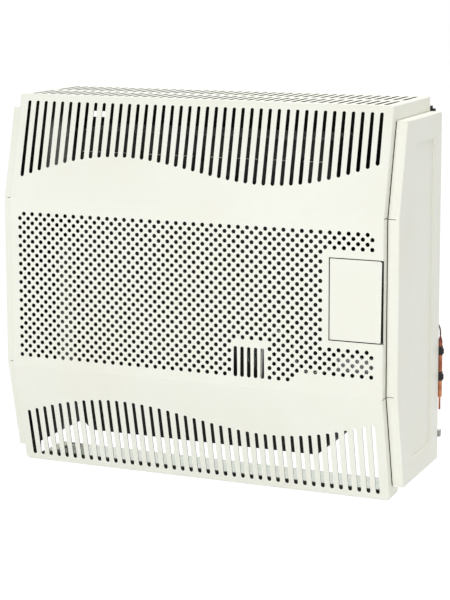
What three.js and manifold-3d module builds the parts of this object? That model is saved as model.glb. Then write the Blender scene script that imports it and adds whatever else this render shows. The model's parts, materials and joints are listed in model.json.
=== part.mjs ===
// Wall mounted gas heater: a balanced-flue convector in a folded, perforated sheet steel casing.
//
// Millimetres, +Z up, +X to the right as seen from the room, which is on the -Y side. Heights are
// counted from the lower edge of the front cover and depths from the wall, so the wall is y = 0 and
// the front of the cover is at FRONT. The group exported at the end lowers everything, so that the
// origin is the middle of the wall rail's rear face.

import * as THREE from 'three';
import { mergeVertices } from 'three/addons/utils/BufferGeometryUtils.js';
import Module from 'manifold-3d';

const wasm = await Module();
wasm.setup();

// ---------------------------------------------------------------- driving dimensions

// Casing
const STANDOFF = 10; // room behind the casing for the wall rails
const CASE_DEPTH = 240; // front of the cover to the rear edge of the casing
const COVER_WIDTH = 660;
const HALF_WIDTH = COVER_WIDTH / 2;
const COVER_HEIGHT = 633;
const LOWER_KNEE = 174.5; // heights of the two bends across the front
const UPPER_KNEE = 461;
const LOWER_LEAN = 42; // how far the front falls back below and above them
const UPPER_LEAN = 45;
const SHEET = 1.2; // casing steel
const FIT = 0.3; // left between pieces that touch
const FRONT = -(STANDOFF + CASE_DEPTH);
const REAR = -STANDOFF;

// Insets from the cover's side, and room left from its top
const DOOR_INSET = 90;
const SIGHT_INSET = 225.9;
const SCREW_INSET = 26;
const RAIL_HOLE_INSETS = [70, 240];
const HOOK_INSET = 130;
const CHAMBER_INSET = 105;
const VALVE_INSET = 60;
const PIEZO_INSET = 31;
const INLET_INSET = 45;
const CAPILLARY_INSET = 25;
const RAIL_TOP_ROOM = 16;
const CHAMBER_TOP_ROOM = 58;
const ORIGIN_TOP_ROOM = 39;

// Flanges of the front cover
const COVER_RIM = 16; // side flange, along the front
const COVER_TOP_RIM = 22; // side flange, along the top
const COVER_FOOT_HEIGHT = 21; // foot of the side flange, below the side panel
const COVER_FOOT_DEPTH = 85;
const COVER_FOOT_RADIUS = 10;
const COVER_RETURN = 14; // lower edge turned inwards
const COVER_REAR_GAP = 2.7; // top sheet stops short of the casing's rear edge

// Slots and holes of the front cover
const COLUMN_PITCH = 15.56;
const COLUMN_MARGIN = 18; // bare strip at each side, at least
const SLOT_WIDTH = 6.6;
const SLOT_EDGE = 10.6; // slot ends to the cover's upper and lower edges
const UPPER_WAVE = { middle: 519, lean: 0.089, height: -29.7, crest: 165, length: 663 };
const LOWER_WAVE = { middle: 110.8, lean: 0.072, height: 26.6, crest: -165, length: 646 };
const TOP_SLOT_ROWS = [[57, 128], [148, 223]]; // from the front face, along the top sheet
const SIGHT_SLOTS = { count: 5, pitch: 11.7, x: HALF_WIDTH - SIGHT_INSET, bottom: 191, top: 241 };
const HOLE_DIAMETER = 7;
const HOLE_ROWS = 32; // rows half a column pitch apart, every other row shifted by half a pitch
const HOLE_ROWS_TOP = 435.3;
const HOLE_THINNING = 3; // every third row and column only: 1 gives the whole field
const BARE_DOOR_MARGIN = 11.5; // no holes round the door
const BARE_SIGHT = { side: 32, bottom: 170, top: 252 }; // round the sight slots
const BARE_CORNER = { width: 147, bottom: 170, top: 207 }; // and at the lower right

// Side panels
const PANEL_PROUD = 20; // outer face beyond the side of the cover
const PANEL_FACE = HALF_WIDTH + PANEL_PROUD;
const PANEL_SEAM = 1.5; // open line beside the cover's flange
const PANEL_TOP_SEAM = 2; // and below its top flange
const PANEL_RETURN = 8; // rear edge turned inwards
const KNEE_SLIT = 0.8; // relief cuts where the flanges bend
const KNEE_SLIT_END = 6; // they stop short of the outer face
const RECESS_DEPTH = 3.5; // pressed field on the outer face
const RECESS_RADIUS = 14;
const RECESS_MARGIN = { front: 55, rear: 40, top: 39, bottom: 36 };

// Control door
const DOOR_LEFT = HALF_WIDTH - DOOR_INSET;
const DOOR_BOTTOM = 263.5;
const DOOR_TOP = 396;
const DOOR_GAP = 1.1;
const DOOR_NOTCH = 10; // depth of the opening in the cover's side flange
const DOOR_BARREL_RADIUS = 3;
const DOOR_PIN_RADIUS = 1.5;
const LUG_HEIGHT = 5.5;
const LUG_SIZE = 12.5;
const MAGNET = { width: 20, depth: 8.5, height: 16, overlap: 9 };

// Frame and wall rails
const FRAME_WIDTH = 26; // side frames, each a shallow tray behind its side panel
const FRAME_INSET = 10; // web of the side frame, from the side of the cover
const PLATE_CLEARANCE = 1.8;
const PLATE_BOTTOM = 56;
const PLATE_TOP_FLANGE = 16;
const RAIL_SHEET = 1.5;
const RAIL_HEIGHT = 45;
const RAIL_TOP = COVER_HEIGHT - RAIL_TOP_ROOM;
const RAIL_BOTTOM = RAIL_TOP - RAIL_HEIGHT;
const RAIL_BEYOND_COVER = 6;
const RAIL_HALF_LENGTH = HALF_WIDTH + RAIL_BEYOND_COVER;
const RAIL_LIP = 18;
const RAIL_LIP_DEPTH = 6;
const RAIL_HOLES = RAIL_HOLE_INSETS.flatMap((inset) => [inset - HALF_WIDTH, HALF_WIDTH - inset]);
const RAIL_HOLE_RADIUS = 4;
const ORIGIN_HEIGHT = COVER_HEIGHT - ORIGIN_TOP_ROOM; // about the middle of the wall rail's rear face
const HOOK_X = HALF_WIDTH - HOOK_INSET;
const HOOK_WIDTH = 40;
const LOWER_RAIL_BOTTOM = 58;
const LOWER_RAIL_HEIGHT = 12;
const LOWER_RAIL_BEYOND_PANEL = 3;
const LOWER_RAIL_HALF_LENGTH = PANEL_FACE + LOWER_RAIL_BEYOND_PANEL;
const BOTTOM_TRAY = { front: 44, rear: 151, lift: 1.5, leg: 58, legDepth: 30, curb: 8 };
const COVER_SCREW_X = HALF_WIDTH - SCREW_INSET;
const COVER_SCREW_SETBACK = 50; // behind the front face
const COVER_SCREW_LENGTH = 9;

// Combustion chamber
const CHAMBER_WIDTH = COVER_WIDTH - 2 * CHAMBER_INSET;
const CHAMBER_SETBACK = 45; // behind the front face
const CHAMBER_STANDOFF = 75;
const CHAMBER_FRONT = FRONT + CHAMBER_SETBACK;
const CHAMBER_REAR = -CHAMBER_STANDOFF;
const CHAMBER_BOTTOM = 62;
const CHAMBER_CORNER = 20; // its lower corners are cut off
const CHAMBER_TOP = COVER_HEIGHT - CHAMBER_TOP_ROOM;
const CHAMBER_WALL = 2;
const RIB_COUNT = 7;
const RIB_PITCH = CHAMBER_WIDTH / (RIB_COUNT + 1);
const RIB_WIDTH = 26;
const RIB_DEPTH = 8;
const RIB_TOP_ROOM = 30; // to the chamber's top
const RIB_FOOT_ROOM = 25; // to the access plate below
const RIB_TOP = CHAMBER_TOP - RIB_TOP_ROOM;
const STAND_X = 130;
const STAND_FLANGE = 25;
const BAFFLE = { width: 300, bottom: 240, depth: 35, sheet: 1.5 };

// Flue connection, on one axis through the wall
const FLUE_HEIGHT = 380;
const EXHAUST_RADIUS = 40;
const AIR_RADIUS = 65;
const COLLAR_WALL = 1.5;
const COLLAR_END = -2; // the collars stop short of the wall
const COLLAR_FLANGE = 10;
const AIR_BOX = { width: 160, bottom: 125, top: 470 };
const AIR_PORT = { width: 100, bottom: 135, top: 165 };
const SEAL = { inner: 66, outer: 80 };

// Access plate on the front of the chamber, with the sight glass
const ACCESS_RIGHT_ROOM = 20; // to the chamber's side
const ACCESS_WIDTH = 300;
const ACCESS = {
  left: CHAMBER_WIDTH / 2 - ACCESS_RIGHT_ROOM - ACCESS_WIDTH,
  right: CHAMBER_WIDTH / 2 - ACCESS_RIGHT_ROOM,
  bottom: 135,
  top: 275,
  sheet: 2,
  lap: 20,
};
const RIB_BOTTOM = ACCESS.top + RIB_FOOT_ROOM;
const GASKET = 2;
const ACCESS_SCREW_INSET = 9;
const SCREW_SHANK = 2.2;
const SCREW_HEAD = 4.6;
const SCREW_HEAD_HEIGHT = 3.2;
const ACCESS_SCREW_LENGTH = 8;
const SIGHT_Z = 216;
const SIGHT_RADIUS = 20;
const GLASS_RADIUS = 24;
const GLASS_THICKNESS = 3;
const GLASS_FRAME_RADIUS = 30;

// Burner and pilot
const BURNER = {
  y: CHAMBER_FRONT + 40,
  z: 176,
  radius: 17,
  wall: 1.5,
  left: -165,
  right: ACCESS.right - 50,
  ports: 10,
};
const BURNER_SUPPORT_X = [ACCESS.left + 45, BURNER.right - 30];
const INJECTOR = { x: ACCESS.right - 30, stem: 7, nozzle: 5, block: 16, front: CHAMBER_FRONT - 24 };
const PILOT_Y = CHAMBER_FRONT + 10;
const PILOT_X = ACCESS.left + 135;
const THERMOCOUPLE_X = PILOT_X + 20;
const ELECTRODE_X = PILOT_X + 40;
const PILOT_PLATE_Z = 180;
const LEAD_ENTRY_Z = 160; // where the small lines pass through the access plate
const LEAD_ENTRY_RADIUS = 3.5;

// Gas valve, control knob and igniter
const VALVE = {
  x: HALF_WIDTH - VALVE_INSET,
  y: FRONT + 67,
  width: 64,
  front: FRONT + 35,
  rear: FRONT + 100,
  bottom: 196,
  top: 258,
};
const VALVE_NECK_TOP = 268;
const SPINDLE_RADIUS = 4.7;
const SPINDLE_BOTTOM = 240;
const SPINDLE_TOP = 292;
const BUSH = { inner: 5.1, outer: 11, height: 4.5 };
const KNOB = { radius: 22, bottom: 276, top: 302, recess: 8, recessRadius: 13, flutes: 12 };
const KNOB_PUSH = 4;
const PIEZO = {
  x: HALF_WIDTH - PIEZO_INSET,
  z: 355,
  radius: 11,
  front: FRONT + 28,
  rear: FRONT + 74,
  collar: 14,
};
const BUTTON = { radius: 8, front: FRONT + 16, rear: FRONT + 44, travel: 6 };
const INLET = {
  x: HALF_WIDTH - INLET_INSET,
  y: FRONT + 170,
  bottom: 16,
  nut: 20,
  pipe: 7.5,
  bore: 6,
};
const INLET_ROUTE = [ // from the nut's axis
  [-3, -88, VALVE.bottom - 40],
  [-3, -85, VALVE.bottom - 62],
  [-2, -56, INLET.bottom + 92],
  [0, -14, INLET.bottom + 64],
  [0, 0, INLET.bottom + 38],
];

// Small lines, hand-placed along the front of the access plate: the run's depth, and how high
// each line lies
const PILOT_PIPE_RADIUS = 2.4;
const LEADS = { y: CHAMBER_FRONT - 11, pilot: 128, thermocouple: 137, ignition: 146 };
const PILOT_ROUTE = [ // up in a bow over the right-hand sight slot, then down in front of the others
  [VALVE.x - 35, VALVE.front + 10, VALVE.bottom + 10],
  [VALVE.x - 42, VALVE.front + 6, VALVE.bottom + 9],
  [VALVE.x - 54, VALVE.front - 2, VALVE.bottom + 7],
  [VALVE.x - 66, LEADS.y - 5, VALVE.bottom + 5.5],
  [VALVE.x - 83, LEADS.y - 6, VALVE.bottom + 7],
  [VALVE.x - 93, LEADS.y - 6, VALVE.bottom + 15],
  [VALVE.x - 97, LEADS.y - 6, VALVE.bottom + 29],
  [VALVE.x - 98, LEADS.y - 6, VALVE.bottom + 46],
  [VALVE.x - 104, LEADS.y - 6, VALVE.bottom + 60],
  [VALVE.x - 119, LEADS.y - 6, VALVE.bottom + 69],
  [VALVE.x - 134, LEADS.y - 6, VALVE.bottom + 66],
  [VALVE.x - 146, LEADS.y - 6, VALVE.bottom + 54],
  [VALVE.x - 152, LEADS.y - 6, VALVE.bottom + 40],
  [VALVE.x - 154, LEADS.y - 7, VALVE.bottom + 20],
  [VALVE.x - 154, LEADS.y - 9, VALVE.bottom - 6],
  [VALVE.x - 156, LEADS.y - 14, LEADS.ignition + 20],
  [VALVE.x - 160, LEADS.y - 15, LEADS.ignition],
  [VALVE.x - 170, LEADS.y - 13, LEADS.pilot + 5],
  [VALVE.x - 184, LEADS.y - 6, LEADS.pilot],
  [PILOT_X + 32, LEADS.y, LEADS.pilot],
  [PILOT_X + 4, LEADS.y, LEADS.pilot + 7],
];
const THERMOCOUPLE_ROUTE = [
  [VALVE.x - 9, LEADS.y + 9, LEADS.thermocouple + 35],
  [VALVE.x - 22, LEADS.y + 3, LEADS.thermocouple + 11],
  [VALVE.x - 55, LEADS.y, LEADS.thermocouple + 1],
  [VALVE.x - 120, LEADS.y, LEADS.thermocouple],
  [THERMOCOUPLE_X + 25, LEADS.y, LEADS.thermocouple],
  [THERMOCOUPLE_X + 4, LEADS.y, LEADS.thermocouple + 6],
];
const IGNITION_ROUTE = [
  [PIEZO.x, PIEZO.rear + 12, PIEZO.z],
  [PIEZO.x + 5, PIEZO.rear + 18, PIEZO.z - 4],
  [PIEZO.x + 11, PIEZO.rear + 19, PIEZO.z - 20],
  [PIEZO.x + 12, PIEZO.rear + 16, PIEZO.z - 55],
  [PIEZO.x + 12, PIEZO.rear + 12, VALVE.top - 8],
  [PIEZO.x + 12, PIEZO.rear + 4, VALVE.bottom + 9],
  [PIEZO.x + 7, LEADS.y + 20, VALVE.bottom - 18],
  [PIEZO.x - 9, LEADS.y, LEADS.ignition + 10],
  [VALVE.x - 15, LEADS.y - 7, LEADS.ignition + 1],
  [VALVE.x - 70, LEADS.y - 8, LEADS.ignition],
  [ELECTRODE_X + 40, LEADS.y - 6, LEADS.ignition],
  [ELECTRODE_X + 12, LEADS.y - 3, LEADS.ignition + 2],
];
const BURNER_ROUTE = [
  [INJECTOR.x + 30, INJECTOR.front + 8, BURNER.z],
  [VALVE.x - 44, VALVE.y - 34, BURNER.z],
  [VALVE.x - 29, VALVE.y - 23, BURNER.z + 2],
  [VALVE.x - 21, VALVE.y - 13, BURNER.z + 7],
  [VALVE.x - 20, VALVE.y - 11, BURNER.z + 13],
];

// Thermostat
const BULB = {
  x: PANEL_FACE + 1,
  y: -5,
  radius: 3.6,
  bottom: 126,
  top: 224,
  cone: 8,
  tail: 21,
  tailRadius: 1.6,
};
const CLIP_HEIGHTS = [206.5, 162.5];
const CLIP = { height: 15, wall: 0.8, clearance: 0.3, foot: 20, ear: 7.3 };
const CAPILLARY_RADIUS = 1.25;
const CAPILLARY_START = { x: VALVE.x + 15, z: VALVE.top - 20 }; // on the valve's rear
const CAPILLARY_HOLE = { x: HALF_WIDTH - CAPILLARY_INSET, z: 262, radius: 4 };
const CAPILLARY_ROUTE = [
  [CAPILLARY_START.x, VALVE.rear + 30, CAPILLARY_START.z + 2],
  [CAPILLARY_HOLE.x - 9, -60, CAPILLARY_HOLE.z - 10],
  [CAPILLARY_HOLE.x - 1, -24, CAPILLARY_HOLE.z],
  [CAPILLARY_HOLE.x, -12, CAPILLARY_HOLE.z],
  [CAPILLARY_HOLE.x + 3, -6, CAPILLARY_HOLE.z],
  [CAPILLARY_HOLE.x + 12, BULB.y, CAPILLARY_HOLE.z],
  [BULB.x - 13, BULB.y, CAPILLARY_HOLE.z - 3],
  [BULB.x - 3, BULB.y, CAPILLARY_HOLE.z - 12],
  [BULB.x, BULB.y, CAPILLARY_HOLE.z - 22],
];

// ---------------------------------------------------------------- derived places

const PANEL_TOP = COVER_HEIGHT - COVER_TOP_RIM - PANEL_TOP_SEAM;
const PANEL_BOTTOM = COVER_FOOT_HEIGHT;
const WEB = HALF_WIDTH - FRAME_INSET; // outer side of the space between the side frames
const COVER_SCREW_Y = FRONT + COVER_SCREW_SETBACK;
const BEYOND = 20; // overshoot of a cutter
const COLUMNS = 2 * Math.floor((HALF_WIDTH - COLUMN_MARGIN) / COLUMN_PITCH) + 1;
const BARE_AREAS = [
  {
    left: DOOR_LEFT - BARE_DOOR_MARGIN,
    right: HALF_WIDTH,
    bottom: DOOR_BOTTOM - BARE_DOOR_MARGIN,
    top: DOOR_TOP + BARE_DOOR_MARGIN,
  },
  {
    left: SIGHT_SLOTS.x - BARE_SIGHT.side,
    right: SIGHT_SLOTS.x + BARE_SIGHT.side,
    bottom: BARE_SIGHT.bottom,
    top: BARE_SIGHT.top,
  },
  {
    left: HALF_WIDTH - BARE_CORNER.width,
    right: HALF_WIDTH,
    bottom: BARE_CORNER.bottom,
    top: BARE_CORNER.top,
  },
];
const ACCESS_SCREWS = [ACCESS.bottom + ACCESS_SCREW_INSET, ACCESS.top - ACCESS_SCREW_INSET].flatMap((z) =>
  [ACCESS.left + ACCESS_SCREW_INSET, ACCESS.right - ACCESS_SCREW_INSET].map((x) => [x, z]));

// ---------------------------------------------------------------- solid modelling helpers

function solid(geometry) {
  const bare = geometry.clone();
  bare.deleteAttribute('normal');
  bare.deleteAttribute('uv');
  const merged = mergeVertices(bare, 1e-4);
  const vertProperties = new Float32Array(merged.attributes.position.array);
  const triVerts = new Uint32Array(merged.index.array);
  return new wasm.Manifold(new wasm.Mesh({ numProp: 3, vertProperties, triVerts }));
}

function geometryOf(body) {
  const mesh = body.getMesh();
  const geometry = new THREE.BufferGeometry();
  geometry.setAttribute('position', new THREE.BufferAttribute(mesh.vertProperties, 3));
  geometry.setIndex(new THREE.BufferAttribute(mesh.triVerts, 1));
  geometry.computeVertexNormals();
  return geometry;
}

const join = (...bodies) => bodies.flat().reduce((whole, body) => whole.add(body));

// An outline of [u, v] points swept straight along one axis: (y, z) along x, (x, z) along y and
// (x, y) along z.
const SWEEP_FRAMES = {
  x: [[0, 1, 0], [0, 0, 1], [1, 0, 0]],
  y: [[1, 0, 0], [0, 0, 1], [0, -1, 0]],
  z: [[1, 0, 0], [0, 1, 0], [0, 0, 1]],
};

function prism(axis, outline, from, to) {
  const shape = new THREE.Shape(outline.map(([u, v]) => new THREE.Vector2(u, v)));
  const geometry = new THREE.ExtrudeGeometry(shape, { depth: to - from, bevelEnabled: false });
  const [u, v, w] = SWEEP_FRAMES[axis].map((a) => new THREE.Vector3(...a));
  const start = axis === 'y' ? to : from; // the y sweep runs towards -Y
  geometry.applyMatrix4(new THREE.Matrix4().makeBasis(u, v, w));
  geometry.translate(...['x', 'y', 'z'].map((name) => (name === axis ? start : 0)));
  return solid(geometry);
}

function block([x0, x1], [y0, y1], [z0, z1]) {
  const geometry = new THREE.BoxGeometry(x1 - x0, y1 - y0, z1 - z0);
  return solid(geometry.translate((x0 + x1) / 2, (y0 + y1) / 2, (z0 + z1) / 2));
}

const rectangle = (u0, u1, v0, v1) => [[u0, v0], [u1, v0], [u1, v1], [u0, v1]];

// Corners of a closed outline cut back to arcs of one radius.
function rounded(outline, radius, steps = 3) {
  return outline.flatMap(([u, v], i) => {
    const corner = new THREE.Vector2(u, v);
    const toward = (k) => {
      const next = outline[(i + k + outline.length) % outline.length];
      return new THREE.Vector2(...next).sub(corner).normalize();
    };
    const [before, after] = [toward(-1), toward(1)];
    const half = Math.acos(THREE.MathUtils.clamp(before.dot(after), -1, 1)) / 2;
    const inwards = before.clone().add(after).normalize();
    const centre = corner.clone().addScaledVector(inwards, radius / Math.sin(half));
    const reach = radius / Math.tan(half);
    const start = corner.clone().addScaledVector(before, reach).sub(centre);
    const end = corner.clone().addScaledVector(after, reach).sub(centre);
    const turn = Math.atan2(start.cross(end), start.dot(end));
    return Array.from({ length: steps + 1 }, (_, k) => {
      const p = start.clone().rotateAround(new THREE.Vector2(), (turn * k) / steps).add(centre);
      return [p.x, p.y];
    });
  });
}

function circle(u, v, radius, sides, turn = 0) {
  return Array.from({ length: sides }, (_, i) => {
    const angle = turn + (i * 2 * Math.PI) / sides;
    return [u + radius * Math.cos(angle), v + radius * Math.sin(angle)];
  });
}

// A bar of round section along an axis: [u, v] is its centre in the plane across that axis.
const rod = (axis, [u, v], radius, from, to, sides = 16) =>
  prism(axis, circle(u, v, radius, sides), from, to);

const ring = (axis, centre, inner, outer, from, to, sides = 20) =>
  rod(axis, centre, outer, from, to, sides).subtract(rod(axis, centre, inner, from - 1, to + 1, sides));

// A body turned about z from a [radius, height] profile.
function turned(profile, sides) {
  const geometry = new THREE.LatheGeometry(profile.map(([r, h]) => new THREE.Vector2(r, h)), sides);
  return solid(geometry.rotateX(Math.PI / 2));
}

// A tube or wire along a smooth curve through hand-placed points.
function line(points, radius, steps, sides = 6) {
  const places = points.map((p) => new THREE.Vector3(...p));
  const extrudePath = new THREE.CatmullRomCurve3(places, false, 'centripetal');
  const section = new THREE.Shape(circle(0, 0, radius, sides).map(([u, v]) => new THREE.Vector2(u, v)));
  return solid(new THREE.ExtrudeGeometry(section, { steps, extrudePath, bevelEnabled: false }));
}

const mirrored = (body) => body.mirror([1, 0, 0]);

// A long hole with pointed ends, [centre u, v from, v to].
function slot(u, from, to) {
  const half = SLOT_WIDTH / 2;
  return [
    [u, from],
    [u + half, from + half],
    [u + half, to - half],
    [u, to],
    [u - half, to - half],
    [u - half, from + half],
  ];
}

// ---------------------------------------------------------------- the casing's side profile

const lowerSlope = LOWER_LEAN / LOWER_KNEE;
const upperSlope = UPPER_LEAN / (COVER_HEIGHT - UPPER_KNEE);

// Depth of the folded front, moved inwards by inset, at a height.
function frontAt(height, inset) {
  const lower = (LOWER_KNEE - height) * lowerSlope + inset * Math.hypot(1, lowerSlope);
  const upper = (height - UPPER_KNEE) * upperSlope + inset * Math.hypot(1, upperSlope);
  return FRONT + Math.max(lower, inset, upper);
}

const lowerKneeAt = (inset) => LOWER_KNEE + (inset * (Math.hypot(1, lowerSlope) - 1)) / lowerSlope;
const upperKneeAt = (inset) => UPPER_KNEE - (inset * (Math.hypot(1, upperSlope) - 1)) / upperSlope;

// Closed (y, z) outline behind the folded front.
function sideOutline(inset, bottom, top, rear) {
  return [
    [frontAt(bottom, inset), bottom],
    [rear, bottom],
    [rear, top],
    [frontAt(top, inset), top],
    [FRONT + inset, upperKneeAt(inset)],
    [FRONT + inset, lowerKneeAt(inset)],
  ];
}

// ---------------------------------------------------------------- front cover

const waveAt = (wave, x) =>
  wave.middle + wave.lean * x + wave.height * Math.cos((2 * Math.PI * (x - wave.crest)) / wave.length);

const columnX = (index) => (index - (COLUMNS - 1) / 2) * COLUMN_PITCH;

function coverSlots() {
  const cutters = [];
  const frontTo = FRONT + Math.max(LOWER_LEAN, UPPER_LEAN) + BEYOND;
  for (let i = 0; i < COLUMNS; i += 1) {
    const x = columnX(i);
    const upper = slot(x, waveAt(UPPER_WAVE, x), COVER_HEIGHT - SLOT_EDGE);
    const lower = slot(x, SLOT_EDGE, waveAt(LOWER_WAVE, x));
    cutters.push(prism('y', upper, FRONT - BEYOND, frontTo));
    cutters.push(prism('y', lower, FRONT - BEYOND, frontTo));
    for (const [from, to] of TOP_SLOT_ROWS) {
      const along = slot(x, FRONT + from, FRONT + to);
      cutters.push(prism('z', along, COVER_HEIGHT - 2 * SHEET, COVER_HEIGHT + 1));
    }
  }
  for (let i = 0; i < SIGHT_SLOTS.count; i += 1) {
    const x = SIGHT_SLOTS.x + (i - (SIGHT_SLOTS.count - 1) / 2) * SIGHT_SLOTS.pitch;
    const sight = slot(x, SIGHT_SLOTS.bottom, SIGHT_SLOTS.top);
    cutters.push(prism('y', sight, FRONT - 1, FRONT + 2 * SHEET));
  }
  return cutters;
}

function coverHoles() {
  const cutters = [];
  const halfPitch = COLUMN_PITCH / 2;
  const step = HOLE_THINNING * halfPitch;
  const squareRadius = (HOLE_DIAMETER / 2) * Math.sqrt(Math.PI / 2); // a square of the same area
  const left = columnX(0);
  for (let row = 0; row < HOLE_ROWS / HOLE_THINNING; row += 1) {
    const z = HOLE_ROWS_TOP - row * step;
    const first = left + halfPitch + (row % 2) * step;
    for (let x = first; x <= -left + 1; x += 2 * step) {
      const bare = BARE_AREAS.some((a) => x > a.left && x < a.right && z > a.bottom && z < a.top);
      if (!bare) cutters.push(rod('y', [x, z], squareRadius, FRONT - 1, FRONT + 2 * SHEET, 4));
    }
  }
  return cutters;
}

const kneeSlits = (from, to, inset) => [lowerKneeAt(inset), upperKneeAt(inset)].map((z) =>
  block([from, to], [FRONT + SHEET, FRONT + COVER_RIM + 2 * SHEET], [z - KNEE_SLIT / 2, z + KNEE_SLIT / 2]));

// Cuts away what lies behind the foot of the side flange and rounds the foot's rear corner.
function behindFoot() {
  const rear = FRONT + COVER_FOOT_DEPTH;
  const arc = Array.from({ length: 4 }, (_, i) => {
    const angle = (i * Math.PI) / 6;
    return [rear - COVER_FOOT_RADIUS * (1 - Math.cos(angle)), COVER_FOOT_RADIUS * (1 - Math.sin(angle))];
  });
  const top = COVER_FOOT_HEIGHT + 1;
  const outline = [[rear - COVER_FOOT_RADIUS, -1], [BEYOND, -1], [BEYOND, top], [rear, top], ...arc];
  return prism('x', outline, -PANEL_FACE, PANEL_FACE);
}

function frontCover() {
  const rear = REAR - COVER_REAR_GAP;
  const inside = HALF_WIDTH - SHEET;
  const outer = prism('x', sideOutline(0, 0, COVER_HEIGHT, rear), -HALF_WIDTH, HALF_WIDTH);
  const hollow = prism('x', sideOutline(SHEET, SHEET, COVER_HEIGHT - SHEET, BEYOND), -inside, inside);
  const openOutline = sideOutline(COVER_RIM, COVER_FOOT_HEIGHT, COVER_HEIGHT - COVER_TOP_RIM, BEYOND);
  const sideOpening = prism('x', openOutline, -PANEL_FACE, PANEL_FACE);
  const floorHalf = HALF_WIDTH - COVER_RETURN;
  const floorOpening = block([-floorHalf, floorHalf], [frontAt(0, COVER_RETURN), BEYOND], [-1, 2 * SHEET]);
  const doorOpening = block([DOOR_LEFT, HALF_WIDTH + 1], [FRONT - 1, FRONT + DOOR_NOTCH],
    [DOOR_BOTTOM, DOOR_TOP]);
  const slits = kneeSlits(inside - SHEET, HALF_WIDTH + 1, 0);
  const screwHoles = [-1, 1].map((side) =>
    rod('z', [side * COVER_SCREW_X, COVER_SCREW_Y], SCREW_SHANK + FIT, -1, 2 * SHEET, 8));
  return outer.subtract(join(hollow, sideOpening, behindFoot(), floorOpening, doorOpening))
    .subtract(join(slits, slits.map(mirrored), screwHoles, coverSlots(), coverHoles()));
}

// ---------------------------------------------------------------- side panel and side frame, right

function sidePanel() {
  const inner = HALF_WIDTH + PANEL_SEAM;
  const bottom = PANEL_BOTTOM;
  const shell = prism('x', sideOutline(COVER_RIM, bottom, PANEL_TOP, REAR), inner, PANEL_FACE);
  const insideOutline = sideOutline(COVER_RIM + SHEET, bottom + SHEET, PANEL_TOP - SHEET, REAR - SHEET);
  const hollow = prism('x', insideOutline, inner - 1, PANEL_FACE - SHEET);
  const recess = rounded(sideOutline(COVER_RIM + RECESS_MARGIN.front, bottom + RECESS_MARGIN.bottom,
    PANEL_TOP - RECESS_MARGIN.top, REAR - RECESS_MARGIN.rear), RECESS_RADIUS);
  const behindRecess = rounded(sideOutline(COVER_RIM + RECESS_MARGIN.front - SHEET,
    bottom + RECESS_MARGIN.bottom - SHEET, PANEL_TOP - RECESS_MARGIN.top + SHEET,
    REAR - RECESS_MARGIN.rear + SHEET), RECESS_RADIUS + SHEET);
  const floor = PANEL_FACE - RECESS_DEPTH;
  const dish = prism('x', behindRecess, floor - SHEET, PANEL_FACE);
  const pressed = prism('x', recess, floor, PANEL_FACE + 1);
  const openRear = block([inner - 1, PANEL_FACE - PANEL_RETURN], [REAR - 2 * SHEET, 1], [0, COVER_HEIGHT]);
  const slits = kneeSlits(inner - 1, PANEL_FACE - KNEE_SLIT_END, COVER_RIM);
  return shell.subtract(hollow.subtract(dish)).subtract(pressed).subtract(join(openRear, slits));
}

function sideFrame() {
  const inset = COVER_RIM + SHEET + FIT;
  const [bottom, top, rear] = [PANEL_BOTTOM + SHEET + FIT, PANEL_TOP - SHEET - FIT, REAR - SHEET - FIT];
  const shell = prism('x', sideOutline(inset, bottom, top, rear), WEB, WEB + FRAME_WIDTH);
  const insideOutline = sideOutline(inset + SHEET, bottom + SHEET, top - SHEET, rear - SHEET);
  const hollow = prism('x', insideOutline, WEB + SHEET, WEB + FRAME_WIDTH + 1);
  return shell.subtract(hollow);
}

// ---------------------------------------------------------------- back plate, rails and brackets

function backPlate() {
  const wide = PANEL_FACE - PANEL_RETURN - PANEL_SEAM;
  const narrow = HALF_WIDTH - SHEET - PLATE_CLEARANCE;
  const shoulder = PANEL_TOP - SHEET - PLATE_CLEARANCE;
  const top = COVER_HEIGHT - SHEET - FIT;
  const outline = [[-wide, PLATE_BOTTOM], [wide, PLATE_BOTTOM], [wide, shoulder], [narrow, shoulder],
    [narrow, top], [-narrow, top], [-narrow, shoulder], [-wide, shoulder]];
  const plate = prism('y', outline, REAR - SHEET, REAR);
  const flange = block([-narrow, narrow], [REAR - PLATE_TOP_FLANGE, REAR], [top - SHEET, top]);
  const flueHole = rod('y', [0, FLUE_HEIGHT], AIR_RADIUS + FIT, REAR - BEYOND, 1, 20);
  const { x, z, radius } = CAPILLARY_HOLE;
  const capillaryHole = rod('y', [x, z], radius, REAR - BEYOND, 1, 10);
  return plate.add(flange).subtract(join(flueHole, capillaryHole));
}

// A J section: the plate against the wall, a shelf at its foot and an upright lip.
function wallRail() {
  const lip = -RAIL_LIP_DEPTH;
  const lipTop = RAIL_BOTTOM + RAIL_LIP;
  const shelf = RAIL_BOTTOM + RAIL_SHEET;
  const outline = [
    [0, RAIL_BOTTOM],
    [0, RAIL_TOP],
    [-RAIL_SHEET, RAIL_TOP],
    [-RAIL_SHEET, shelf],
    [lip + RAIL_SHEET, shelf],
    [lip + RAIL_SHEET, lipTop],
    [lip, lipTop],
    [lip, RAIL_BOTTOM],
  ];
  const holes = RAIL_HOLES.map((x) => rod('y', [x, RAIL_TOP - 10], RAIL_HOLE_RADIUS, -BEYOND, 1, 8));
  return prism('x', outline, -RAIL_HALF_LENGTH, RAIL_HALF_LENGTH).subtract(join(holes));
}

// A channel, open towards the casing.
function lowerWallRail() {
  const [low, high] = [LOWER_RAIL_BOTTOM, LOWER_RAIL_BOTTOM + LOWER_RAIL_HEIGHT];
  const front = REAR + FIT;
  const outline = [
    [0, low],
    [0, high],
    [front, high],
    [front, high - RAIL_SHEET],
    [-RAIL_SHEET, high - RAIL_SHEET],
    [-RAIL_SHEET, low + RAIL_SHEET],
    [front, low + RAIL_SHEET],
    [front, low],
  ];
  return prism('x', outline, -LOWER_RAIL_HALF_LENGTH, LOWER_RAIL_HALF_LENGTH);
}

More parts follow.
